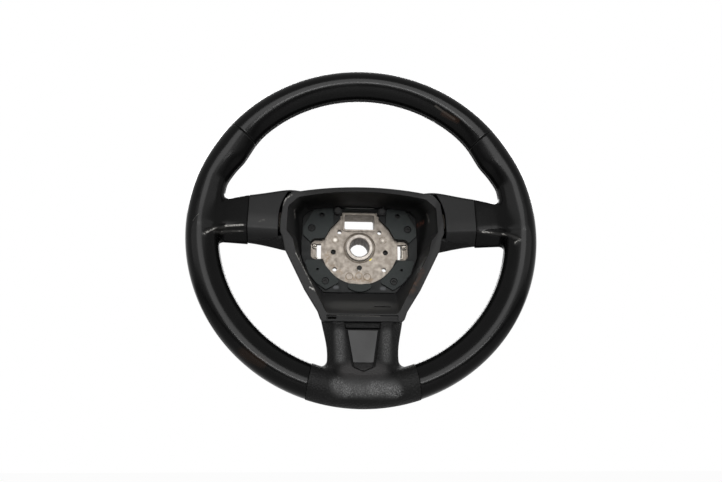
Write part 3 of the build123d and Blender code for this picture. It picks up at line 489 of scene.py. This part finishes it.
def mesh_object(name: str, points: np.ndarray, faces: list, edges: list | None = None) -> Object:
    """Make a linked mesh object.

    Args:
        name: Name of the object and its mesh.
        points: Rows of X, Y and Z, in millimetres.
        faces: Point numbers of each face.
        edges: Point numbers of each loose edge.

    Returns:
        The new object.
    """
    mesh = bpy.data.meshes.new(name)
    mesh.from_pydata([tuple(p) for p in np.asarray(points) * MM], edges or [], faces)
    mesh.update()
    return place(bpy.data.objects.new(name, mesh))


def ring_faces(rings: int, sides: int) -> list[tuple[int, ...]]:
    """Join rings of points into a closed tube.

    Args:
        rings: Number of rings, whose points follow one another.
        sides: Points in each ring.

    Returns:
        Point numbers of the faces between the rings and of the two ends.
    """
    faces = []
    for low in range(0, (rings - 1) * sides, sides):
        for j in range(sides):
            k = (j + 1) % sides
            faces.append((low + j, low + k, low + sides + k, low + sides + j))
    faces.append(tuple(reversed(range(sides))))
    faces.append(tuple(range((rings - 1) * sides, rings * sides)))
    return faces


def plain_mesh(piece: Object) -> None:
    """Turn a piece with modifiers into a plain mesh.

    Args:
        piece: The piece, which keeps its name.
    """
    depsgraph = bpy.context.evaluated_depsgraph_get()
    made = bpy.data.meshes.new_from_object(piece.evaluated_get(depsgraph))
    old = piece.data
    piece.modifiers.clear()
    piece.data = made
    bpy.data.meshes.remove(old)


def shape_tree(name: str, inputs: dict[str, str]) -> tuple[NodeTree, bpy_prop_collection]:
    """Start a Geometry Nodes tree that takes a piece in and hands it on.

    Args:
        name: Name of the tree.
        inputs: Name of each further input to its kind, such as Float.

    Returns:
        The tree, and the sockets that bring its inputs.
    """
    tree = bpy.data.node_groups.new(name, "GeometryNodeTree")
    for label, kind in {"Geometry": "Geometry", **inputs}.items():
        tree.interface.new_socket(label, in_out="INPUT", socket_type=f"NodeSocket{kind}")
    tree.interface.new_socket("Geometry", in_out="OUTPUT", socket_type="NodeSocketGeometry")
    return tree, add_node(tree, "NodeGroupInput").outputs


def run_tree(piece: Object, tree: NodeTree, values: dict) -> None:
    """Shape a piece with a Geometry Nodes tree and keep the result as a plain mesh.

    Args:
        piece: The piece.
        tree: Tree that shapes it.
        values: Name of each of the tree's further inputs to its value.
    """
    step = piece.modifiers.new(tree.name, "NODES")
    step.node_group = tree
    for socket in tree.interface.items_tree:
        if socket.in_out == "INPUT" and socket.name in values:
            step[socket.identifier] = values[socket.name]
    plain_mesh(piece)


@dataclass
class RimGrip:
    """Leather panels of the rim, with thumb rests, rolled seams and the pleats along the side spokes."""

    radius: float = 170.3
    thick: float = 34.4
    depth: float = 32.8
    egg: float = 0.75  # the section is fuller outside than inside
    seam: float = 52.0
    trim: float = 161.5
    spare: float = 3.0  # degrees swept past the trim, which the panel's end then cuts off
    lean: float = 8.0  # the lower end leans upright from the rim's own section
    thumb: float = 60.0
    thumb_reach: float = 3.7
    thumb_rise: float = 9.0
    thumb_fall: float = 5.5
    waist: float = 1.5  # hollow under the thumb rest
    waist_step: float = 12.5
    waist_width: float = 3.5
    cover: float = 124.3
    blend: float = 8.0  # how softly spoke and rim flow together
    roll: float = 0.8  # rolled edge of a panel
    voxel: float = 1.05
    rows: float = 2.4  # rings of points to a degree
    sides: int = 84
    stub_rows: int = 9
    # How points are pressed onto the form: passes, probe of its slope and longest move
    passes: int = 6
    probe: float = 0.05
    stride: float = 1.5
    groove_depth: float = 0.7
    groove_width: float = 1.1
    groove_inset: float = 8.0
    groove_fade: float = 4.0
    groove_stop: float = 13.0  # degrees on each side of a spoke
    # The spoke's front edge, crease, keel and shoulder, its highest line and how sharply its faces meet
    brow: float = 3.0
    crease: float = -0.5
    keel: float = 16.0
    shoulder: float = 10.0
    crest: float = 0.65
    corner: float = 0.9
    # Spoke sections outwards: distance from the axis, front, back, top, bottom, heel, fall to the front
    spoke: tuple[tuple[float, ...], ...] = (
        (110.0, 6.0, 43.0, 43.0, -17.5, 2.0, 1.5),
        (124.0, 4.0, 30.0, 39.5, -16.5, 1.5, 1.5),
        (138.0, -0.4, 24.0, 36.4, -17.0, 1.0, 3.5),
        (149.1, -4.0, 19.0, 34.0, -17.5, 0.5, 6.0),
        (170.3, -13.5, 9.5, 31.0, -17.0, 1.0, 7.5),
    )
    pleat_height: float = 0.5
    pleat_width: float = 1.3
    pleat_wear: float = 0.15
    pleat_back: float = 9.0
    pleat_fade: float = 6.0
    # Pleats along the front of the spokes: X, Z
    pleats: tuple[tuple[tuple[float, float], ...], ...] = (
        ((-164.7, -14.6), (-162.8, -11.7), (-155.6, -6.6), (-143.8, -1.4), (-126.5, 1.5)),
        ((-156.0, -10.5), (-147.6, -7.1), (-126.5, -4.2)),
        ((126.5, -0.6), (140.2, -3.6), (151.5, -5.9), (159.0, -10.9), (165.2, -15.0), (160.5, -18.3)),
    )

    def reach(self, angle: np.ndarray) -> np.ndarray:
        """Say how far the inside of the rim stands inwards.

        Args:
            angle: Angles from twelve o'clock, in degrees.

        Returns:
            Millimetres inwards, negative at the waist under a thumb rest.
        """
        below = np.abs(angle) - self.thumb
        spread = np.where(below < 0, self.thumb_rise, self.thumb_fall)
        rest = self.thumb_reach * np.exp(-((below / spread) ** 2))
        return rest - self.waist * np.exp(-(((below - self.waist_step) / self.waist_width) ** 2))

    def outline(self, turn: np.ndarray, reach: np.ndarray) -> np.ndarray:
        """Measure the rim's section from its middle.

        Args:
            turn: Angles in the section from the outside to the front, in radians.
            reach: How far the inside stands inwards there.

        Returns:
            Distances from the middle to the skin.
        """
        wide, deep = (self.thick + reach) / 2, self.depth / 2
        oval = wide * deep / np.hypot(deep * np.cos(turn), wide * np.sin(turn))
        return oval + self.egg * (np.cos(turn) - np.cos(3 * turn))

    def tube(self, p: np.ndarray) -> np.ndarray:
        """Measure the distance of points outside the rim's tube.

        Args:
            p: Points as rows of X, depth and Z.

        Returns:
            Distances, negative inside.
        """
        reach = self.reach(np.degrees(np.arctan2(p[:, 0], p[:, 2])))
        out = np.hypot(p[:, 0], p[:, 2]) - self.radius + reach / 2
        front = -p[:, 1]
        return np.hypot(out, front) - self.outline(np.arctan2(front, out), reach)

    def section(self, along: np.ndarray) -> list[tuple[np.ndarray, np.ndarray]]:
        """Find the corners of the right spoke's section.

        Args:
            along: Distances from the axis, in millimetres.

        Returns:
            Six corners round the section, each as its depths and heights at those distances.
        """
        stations = np.array(self.spoke).T
        front, back, top, bottom, heel, fall = (np.interp(along, stations[0], row) for row in stations[1:])
        return [
            (front + self.brow, top - fall),
            (front, np.full_like(front, self.crease)),
            (front + self.keel, bottom),
            (back, heel),
            (back, top - self.shoulder),
            (front + self.crest * (back - front), top),
        ]

    def arm(self, p: np.ndarray) -> np.ndarray:
        """Measure the distance of points outside the right spoke.

        Args:
            p: Points as rows of X, depth and Z.

        Returns:
            Distances, negative inside.
        """
        corners = self.section(p[:, 0])
        total = np.zeros(len(p))
        for (d0, z0), (d1, z1) in zip(corners, corners[1:] + corners[:1]):
            run, rise = d1 - d0, z1 - z0
            side = ((p[:, 1] - d0) * rise - (p[:, 2] - z0) * run) / np.hypot(run, rise)
            total += np.exp(np.clip(side * self.corner, -60, 60))
        return np.log(total) / self.corner

    def meet(self, shape: np.ndarray, cut: np.ndarray) -> np.ndarray:
        """Cut a form by another with a rolled edge, both as distances outside."""
        share = np.clip(0.5 + 0.5 * (shape - cut) / self.roll, 0, 1)
        return cut * (1 - share) + shape * share + self.roll * share * (1 - share)

    def form(self, p: np.ndarray, start: float, end: float, spoked: bool) -> np.ndarray:
        """Measure the distance of points outside one leather panel.

        Args:
            p: Points as rows of X, depth and Z.
            start: First angle of the panel from twelve o'clock, in degrees.
            end: Last angle.
            spoked: Whether the panel wraps the right spoke.

        Returns:
            Distances, negative inside.
        """
        shape = self.tube(p)
        if spoked:
            arm = self.meet(self.meet(self.arm(p), self.cover - p[:, 0]), p[:, 0] - self.radius)
            share = np.clip(0.5 + 0.5 * (arm - shape) / self.blend, 0, 1)
            shape = arm * (1 - share) + shape * share - self.blend * share * (1 - share)
        around = np.hypot(p[:, 0], p[:, 2])
        angle = np.arctan2(p[:, 0], p[:, 2])
        shape = self.meet(shape, around * np.sin(math.radians(start) - angle))
        if not spoked:
            return self.meet(shape, around * np.sin(angle - math.radians(end)))
        turn, tilt = math.radians(end), math.radians(end + self.lean)
        across = (p[:, 0] - self.radius * math.sin(turn)) * math.cos(tilt)
        return self.meet(shape, across - (p[:, 2] - self.radius * math.cos(turn)) * math.sin(tilt))

    def swept(self, start: float, end: float) -> tuple[np.ndarray, list]:
        """Sweep the rim's section between two angles into a closed tube.

        Args:
            start: First angle from twelve o'clock, in degrees.
            end: Last angle.

        Returns:
            Points in X, depth, Z and the faces between them.
        """
        turn = np.linspace(0, 2 * np.pi, self.sides, endpoint=False)
        rows = []
        for angle in np.linspace(start, end, int((end - start) * self.rows) + 1):
            reach = self.reach(np.array([angle]))[0]
            radius = self.outline(turn, reach)
            out = self.radius - reach / 2 + radius * np.cos(turn)
            rad = math.radians(angle)
            ring = [out * math.sin(rad), -radius * np.sin(turn), out * math.cos(rad)]
            rows.append(np.stack(ring, axis=1))
        return np.concatenate(rows), ring_faces(len(rows), self.sides)

    def stub(self) -> tuple[np.ndarray, list]:
        """Loft the right spoke's leather end as a plain closed block.

        Returns:
            Points in X, depth, Z and the faces between them.
        """
        along = np.linspace(self.cover, self.radius, self.stub_rows)
        corners = self.section(along)
        rows = np.stack([np.stack([along, d, z], axis=1) for d, z in corners], axis=1)
        return rows.reshape(-1, 3), ring_faces(len(along), len(corners))

    def pressed(self, p: np.ndarray, start: float, end: float, spoked: bool) -> np.ndarray:
        """Press points onto the panel's true form and add the seam's groove.

        Args:
            p: Points near the form, as rows of X, depth and Z.
            start: First angle of the panel.
            end: Last angle.
            spoked: Whether the panel wraps the right spoke.

        Returns:
            Points on the form.
        """
        for _ in range(self.passes):
            value = self.form(p, start, end, spoked)
            steps = [self.form(p + axis * self.probe, start, end, spoked) for axis in np.eye(3)]
            slope = np.stack([(there - value) / self.probe for there in steps], axis=1)
            size = np.maximum((slope**2).sum(1), 0.2)
            move = slope * (value / size)[:, None]
            length = np.linalg.norm(move, axis=1)
            p = p - move * np.minimum(1, self.stride / np.maximum(length, 1e-9))[:, None]
        around = np.hypot(p[:, 0], p[:, 2])
        angle = np.degrees(np.arctan2(p[:, 0], p[:, 2]))
        inner = np.clip((self.radius - self.groove_inset - around) / self.groove_fade, 0, 1)
        groove = self.groove_depth * np.exp(-((p[:, 1] / self.groove_width) ** 2)) * inner
        if spoked:
            groove *= 1 - np.exp(-(((np.abs(angle) - 90) / self.groove_stop) ** 6))
        centre = np.stack([p[:, 0], np.zeros(len(p)), p[:, 2]], axis=1) / around[:, None]
        return p + centre * groove[:, None]

    def rubbed(self, p: np.ndarray) -> np.ndarray:
        """Find how strongly each point lies on a pleat.

        Args:
            p: Points as rows of X, depth and Z.

        Returns:
            Share from 0 to 1 for each point.
        """
        ridge = np.zeros(len(p))
        for line in self.pleats:
            for (x0, z0), (x1, z1) in zip(line, line[1:]):
                run = np.array([x1 - x0, z1 - z0])
                flat = p[:, [0, 2]] - np.array([x0, z0])
                share = np.clip(flat @ run / (run @ run), 0, 1)
                away = np.linalg.norm(flat - share[:, None] * run, axis=1)
                ridge = np.maximum(ridge, np.exp(-((away / self.pleat_width) ** 2)))
        return ridge * np.clip((self.pleat_back - p[:, 1]) / self.pleat_fade, 0, 1)

    def panel(self, name: str, start: float, end: float, side: int) -> Object:
        """Build one leather panel.

        Args:
            name: Name of the piece.
            start: First angle from twelve o'clock, in degrees.
            end: Last angle.
            side: 1 for the right panel, -1 for its mirror image and 0 for the top panel.

        Returns:
            The panel as a plain closed mesh.
        """
        points, faces = self.swept(start, end + self.spare * abs(side))
        if side:
            more, stub_faces = self.stub()
            faces = faces + [tuple(i + len(points) for i in face) for face in stub_faces]
            points = np.concatenate([points, more])
        piece = mesh_object(name, points, faces)
        if side:
            remesh = piece.modifiers.new("one_skin", "REMESH")
            remesh.mode = "VOXEL"
            remesh.voxel_size = self.voxel * MM
            plain_mesh(piece)
        mesh = piece.data
        flat = np.zeros(len(mesh.vertices) * 3)
        mesh.vertices.foreach_get("co", flat)
        p = self.pressed(flat.reshape(-1, 3) / MM, start, end, bool(side))
        if side < 0:
            p = p * np.array([-1, 1, 1])
        ridge = self.rubbed(p)
        p = p - np.array([0, self.pleat_height, 0]) * ridge[:, None]
        worn = mesh.attributes.new("worn", "FLOAT", "POINT")
        worn.data.foreach_set("value", (self.pleat_wear * ridge).astype(np.float32))
        p[:, 1] -= DISH
        mesh.vertices.foreach_set("co", (p * MM).astype(np.float32).ravel())
        shape = bmesh.new()
        shape.from_mesh(mesh)
        bmesh.ops.recalc_face_normals(shape, faces=shape.faces)
        shape.to_mesh(mesh)
        shape.free()
        mesh.shade_smooth()
        mesh.update()
        return piece

    def build(self, leather: Material) -> None:
        """Build and dress the three panels.

        Args:
            leather: Their finish.
        """
        for name, start, end, side in (
            ("top", -self.seam, self.seam, 0),
            ("right", self.seam, self.trim, 1),
            ("left", self.seam, self.trim, -1),
        ):
            piece = self.panel(f"leather_panel_{name}", start, end, side)
            settle(piece, leather, "black_leather", "wheel", f"leather_grip_{name}")


@dataclass
class SeamStitches:
    """Cross stitches that close the leather along the inside of the rim."""

    pitch: float = 4.4
    length: float = 4.2
    thread: float = 0.75
    slant: float = 0.35
    sunk: float = 0.1  # how far the line of stitches lies in the leather
    path_step: float = 1.5
    # Sewn stretches as angles from twelve o'clock, with those of the right half mirrored
    runs: tuple[tuple[float, float], ...] = ((-49.5, 49.5), (54.5, 75.0), (106.0, 160.0))

    def tree(self) -> NodeTree:
        """Build the node tree that sets stitches along a line.

        Returns:
            Tree with the inputs Pitch, Length and Thread, in metres.
        """
        tree, entry = shape_tree("seam_stitches", {"Pitch": "Float", "Length": "Float", "Thread": "Float"})
        path = add_node(tree, "GeometryNodeMeshToCurve", [entry["Geometry"]])
        step = {"Curve": path, "Length": entry["Pitch"]}
        spaced = add_node(tree, "GeometryNodeResampleCurve", step, mode="LENGTH")
        bead = add_node(tree, "GeometryNodeMeshUVSphere", {"Segments": 6, "Rings": 5, "Radius": 0.5})
        size = add_node(tree, "ShaderNodeCombineXYZ", [entry["Thread"], entry["Length"], entry["Thread"]])
        stitch = add_node(tree, "GeometryNodeTransform", {"Geometry": bead, "Scale": size})
        tangent = add_node(tree, "GeometryNodeInputTangent")
        slant = add_node(tree, "ShaderNodeVectorMath", [tangent, (0.0, self.slant, 0.0)], operation="ADD")
        align = "FunctionNodeAlignRotationToVector"
        turn = add_node(tree, align, {"Vector": slant}, axis="X")
        upright = {"Rotation": turn, "Vector": (0.0, 1.0, 0.0)}
        turn = add_node(tree, align, upright, axis="Y", pivot_axis="X")
        seats = {"Points": spaced, "Instance": stitch, "Rotation": turn}
        sewn = add_node(tree, "GeometryNodeInstanceOnPoints", seats)
        real = add_node(tree, "GeometryNodeRealizeInstances", [sewn])
        smooth = add_node(tree, "GeometryNodeSetShadeSmooth", [real])
        add_node(tree, "NodeGroupOutput", [smooth])
        return tree

    def build(self, grip: RimGrip, thread: Material) -> None:
        """Sew the seam on the inside of the rim.

        Args:
            grip: Leather that is sewn.
            thread: Finish of the thread.
        """
        points, edges = [], []
        for start, end in self.runs:
            for side in (1,) if start < 0 else (1, -1):
                angles = np.linspace(start, end, int(abs(end - start) / self.path_step))
                around = grip.radius - grip.thick / 2 - grip.reach(angles) + self.sunk
                rad = np.radians(angles * side)
                line = [around * np.sin(rad), np.full_like(rad, -DISH), around * np.cos(rad)]
                edges += [(i, i + 1) for i in range(len(points), len(points) + len(rad) - 1)]
                points += list(np.stack(line, axis=1))
        piece = mesh_object("seam_stitches", points, [], edges)
        sizes = {"Pitch": self.pitch * MM, "Length": self.length * MM, "Thread": self.thread * MM}
        run_tree(piece, self.tree(), sizes)
        settle(piece, thread, "black_leather", "wheel")


@dataclass
class Mouldings:
    """Plastic, rubber and metal pieces whose solids already have their shape."""

    pieces: tuple[tuple[str, Finish, str], ...] = (
        ("left_spoke_cover", COVER, "satin_plastic"),
        ("right_spoke_cover", COVER, "satin_plastic"),
        ("hub_bowl", BOWL, "bowl_plastic"),
        ("rear_cover", GRAINED, "grained_plastic"),
        ("lower_spoke_trim", GRAINED, "grained_plastic"),
        ("lower_trim_back", GRAINED, "grained_plastic"),
        ("decor_insert", INSERT, "insert_plastic"),
        ("contact_carrier", CARRIER, "carrier_plastic"),
        ("stop_buffers", RUBBER, "buffer_rubber"),
        ("hub_casting", CASTING, "cast_metal"),
        ("spline_bush", BUSH, "bush_steel"),
    )
    hidden: tuple[tuple[str, Finish], ...] = (("rim_ring", RING), ("bottom_foam", FOAM))

    def build(self, materials: dict[str, Material]) -> None:
        """Dress the visible mouldings and the pieces inside the rim.

        Args:
            materials: Finishes by name.
        """
        for node, finish, slot in self.pieces:
            settle(weld_copy(node, f"{node}_dressed"), materials[finish.name], slot, "wheel", node)
        for node, finish in self.hidden:
            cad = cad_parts[node].data
            cad.materials.clear()
            cad.materials.append(materials[finish.name])
            LOG.info("%s stays inside with %s", node, finish.name)


@dataclass
class ScrewDrives:
    """Cross recesses sunk into the heads of the screws."""

    arm: float = 4.2
    slot: float = 1.0
    sink: float = 1.5
    # Heads of each set: node, position along the column, and one of each mirrored pair as X, Z
    sets: tuple[tuple[str, float, tuple[tuple[float, float], ...]], ...] = (
        ("carrier_screws", -32.9, ((57.0, 21.2), (39.7, -42.7))),
        ("rear_cover_screws", -5.6, ((55.0, 38.0), (32.0, -48.0))),
        ("lower_trim_screws", -73.6, ((25.0, -118.0),)),
    )

    def tree(self) -> NodeTree:
        """Build the node tree that sinks a cross into each head.

        Returns:
            Tree with the inputs Heads, Arm, Slot and Sink, the sizes in metres.
        """
        inputs = {"Heads": "Object", "Arm": "Float", "Slot": "Float", "Sink": "Float"}
        tree, entry = shape_tree("screw_drives", inputs)
        heads = add_node(tree, "GeometryNodeObjectInfo", [entry["Heads"]]).outputs["Geometry"]
        deep = add_node(tree, "ShaderNodeMath", [entry["Sink"], 2.0], operation="MULTIPLY")
        cut = entry["Geometry"]
        for wide, high in (("Arm", "Slot"), ("Slot", "Arm")):
            size = add_node(tree, "ShaderNodeCombineXYZ", [entry[wide], deep, entry[high]])
            bar = add_node(tree, "GeometryNodeMeshCube", {"Size": size})
            bars = add_node(tree, "GeometryNodeInstanceOnPoints", {"Points": heads, "Instance": bar})
            real = add_node(tree, "GeometryNodeRealizeInstances", [bars])
            both = {"Mesh 1": cut, "Mesh 2": real}
            cut = add_node(tree, "GeometryNodeMeshBoolean", both, operation="DIFFERENCE", solver="EXACT")
        add_node(tree, "NodeGroupOutput", [cut])
        return tree

    def build(self, steel: Material) -> None:
        """Cut the recesses of all the screws.

        Args:
            steel: Finish of the screws.
        """
        tree = self.tree()
        sizes = {"Arm": self.arm * MM, "Slot": self.slot * MM, "Sink": self.sink * MM}
        for node, along, pairs in self.sets:
            spots = np.array([(side * x, along, z) for x, z in pairs for side in (1, -1)])
            heads = mesh_object("screw_heads", spots, [])
            piece = weld_copy(node, f"{node}_dressed")
            run_tree(piece, tree, {"Heads": heads, **sizes})
            piece.data.set_sharp_from_angle(angle=math.radians(CRISP))
            bpy.data.objects.remove(heads)
            settle(piece, steel, "black_screws", "wheel", node)


@dataclass
class LatchSpring:
    """Wire catch: a close-wound coil on its post and a leg with a hook over the slot."""

    side: int
    post: tuple[float, float] = (53.4, 1.65)
    wire: float = 1.1
    coil_inside: float = 1.4
    floor: float = 82.6
    leg: float = 14.0
    hook: float = 3.0
    turns: float = 3.0
    steps: int = 20  # points to a turn
    wind: float = 0.75  # rise of a turn, as a share of the wire
    straight: float = 0.92  # share of the leg above its bend

    def build(self, steel: Material) -> None:
        """Bend the wire, skin it and hang it on its own body.

        Args:
            steel: Finish of the wire.
        """
        x, z = self.post
        middle = self.coil_inside + self.wire / 2
        path = []
        for step in range(int(self.turns * self.steps) + 1):
            turn = math.pi - step / self.steps * 2 * math.pi
            depth = self.floor - self.wire / 2 - step / self.steps * self.wire * self.wind
            path.append((x + middle * math.cos(turn), depth, z + middle * math.sin(turn)))
        line, depth, foot = x - middle, path[-1][1], z - self.leg
        path += [(line, depth, z - share * self.leg * self.straight) for share in (0.3, 0.65, 1.0)]
        bend = ((0.3, 0.3), (1.2, 0.0), (self.hook, 0.0))
        path += [(line - across, depth, foot + up) for across, up in bend]
        curve = bpy.data.curves.new("latch_wire", "CURVE")
        curve.dimensions = "3D"
        curve.bevel_depth = self.wire / 2 * MM
        curve.bevel_resolution = 3
        curve.use_fill_caps = True
        spline = curve.splines.new("POLY")
        spline.points.add(len(path) - 1)
        for point, (px, pd, pz) in zip(spline.points, path):
            point.co = (self.side * px * MM, (pd - DISH) * MM, pz * MM, 1.0)
        name = "right" if self.side > 0 else "left"
        shaped = place(bpy.data.objects.new("latch_wire", curve))
        mesh = bpy.data.meshes.new_from_object(shaped.evaluated_get(bpy.context.evaluated_depsgraph_get()))
        bpy.data.objects.remove(shaped)
        mesh.shade_smooth()
        piece = place(bpy.data.objects.new(f"{name}_latch_wire", mesh))
        settle(piece, steel, "spring_steel", f"{name}_latch", f"{name}_latch_spring")


@dataclass
class Studio:
    """Camera, soft light, pale floor and white surround, all in metres."""

    target: tuple[float, float, float] = (0.0, -0.103, 0.0)
    distance: float = 0.680
    azimuth: float = -3.348
    elevation: float = -18.270
    lens: float = 31.57
    shift: tuple[float, float] = (-0.0031, -0.0189)
    floor: float = -0.55
    floor_half: float = 6.0
    floor_glow: float = 1.17
    floor_share: float = 0.8  # share of the glow that the camera sees
    ambient: float = 0.2  # strength of the white surround as a light
    # Lamps: name, place, width and height, watts
    lamps: tuple[tuple[str, tuple[float, float, float], tuple[float, float], float], ...] = (
        ("soft_box", (0.0, -1.8, 0.33), (0.9, 0.94), 17.0),
        ("bright_strip", (0.12, -1.8, 0.03), (1.2, 0.08), 12.0),
        ("wide_band", (0.0, -1.8, 0.48), (5.9, 0.60), 25.0),
        ("back_light", (0.0, 1.6, 1.2), (3.0, 0.9), 48.0),
    )

    def camera(self) -> None:
        """Set the camera where the photographer stood."""
        turn, rise = math.radians(self.azimuth), math.radians(self.elevation)
        back = Vector((math.sin(turn) * math.cos(rise), -math.cos(turn) * math.cos(rise), math.sin(rise)))
        data = bpy.data.cameras.new("camera")
        data.lens = self.lens
        data.sensor_width = 36.0
        data.shift_x, data.shift_y = self.shift
        data.clip_start, data.clip_end = 0.01, 50.0
        camera = place(bpy.data.objects.new("camera", data))
        camera.location = Vector(self.target) + back * self.distance
        camera.rotation_mode = "QUATERNION"
        camera.rotation_quaternion = (-back).to_track_quat("-Z", "Y")
        bpy.context.scene.camera = camera

    def lamp(
        self, name: str, spot: tuple[float, float, float], size: tuple[float, float], power: float
    ) -> None:
        """Hang one soft box that faces the wheel.

        Args:
            name: Name of the lamp.
            spot: Where it hangs, in metres.
            size: Width and height, in metres.
            power: Watts.
        """
        data = bpy.data.lights.new(name, "AREA")
        data.shape = "RECTANGLE"
        data.size, data.size_y = size
        data.energy = power
        lamp = place(bpy.data.objects.new(name, data))
        lamp.location = spot
        aim = Vector(self.target) - Vector(spot)
        lamp.rotation_mode = "QUATERNION"
        lamp.rotation_quaternion = aim.to_track_quat("-Z", "Y")

    def surround(self) -> None:
        """Make the world white to the eye and in reflections, and dimmer as a light."""
        world = bpy.data.worlds.new("studio_white")
        bpy.context.scene.world = world
        tree = bare_tree(world)
        ray = add_node(tree, "ShaderNodeLightPath").outputs
        seen = ray["Is Camera Ray"]
        for other in ("Is Glossy Ray", "Is Transmission Ray"):
            seen = add_node(tree, "ShaderNodeMath", [seen, ray[other]], operation="MAXIMUM")
        power = add_node(tree, "ShaderNodeMapRange", {0: seen, 3: self.ambient, 4: 1.0})
        white = add_node(tree, "ShaderNodeBackground", [linear("#ffffff"), power])
        add_node(tree, "ShaderNodeOutputWorld", [white])

    def ground(self) -> None:
        """Lay the pale floor, white to the eye, with the wheel's shadow on it."""
        half, level = self.floor_half / MM, self.floor / MM
        corners = [(-half, -half, level), (half, -half, level), (half, half, level), (-half, half, level)]
        piece = mesh_object("studio_floor", np.array(corners), [(0, 1, 2, 3)])
        made = bpy.data.materials.new("pale_floor_paint")
        tree = bare_tree(made)
        eye = add_node(tree, "ShaderNodeLightPath").outputs["Is Camera Ray"]
        paint = add_node(tree, "ShaderNodeBsdfDiffuse", [linear("#f2f2f2")])
        glow = add_node(tree, "ShaderNodeEmission", [linear("#ffffff"), self.floor_glow])
        share = add_node(tree, "ShaderNodeMath", [eye, self.floor_share], operation="MULTIPLY")
        both = add_node(tree, "ShaderNodeMixShader", [share, paint, glow])
        add_node(tree, "ShaderNodeOutputMaterial", {"Surface": both})
        piece.data.materials.append(made)

    def build(self) -> None:
        """Set up the whole studio."""
        self.camera()
        for lamp in self.lamps:
            self.lamp(*lamp)
        self.surround()
        self.ground()
        bpy.context.scene.view_settings.view_transform = "Standard"


def main() -> None:
    """Build the wheel and its studio in order."""
    logging.basicConfig(level=logging.INFO, format="%(message)s")
    finishes = (LEATHER, THREAD, COVER, BOWL, GRAINED, INSERT, CARRIER)
    finishes += (CASTING, BUSH, SPRING, SCREW, RUBBER, FOAM, RING)
    materials = {finish.name: finish.material() for finish in finishes}
    Studio().build()
    grip = RimGrip()
    grip.build(materials[LEATHER.name])
    SeamStitches().build(grip, materials[THREAD.name])
    Mouldings().build(materials)
    ScrewDrives().build(materials[SCREW.name])
    for side in (1, -1):
        LatchSpring(side).build(materials[SPRING.name])


if __name__ == "__main__":
    main()
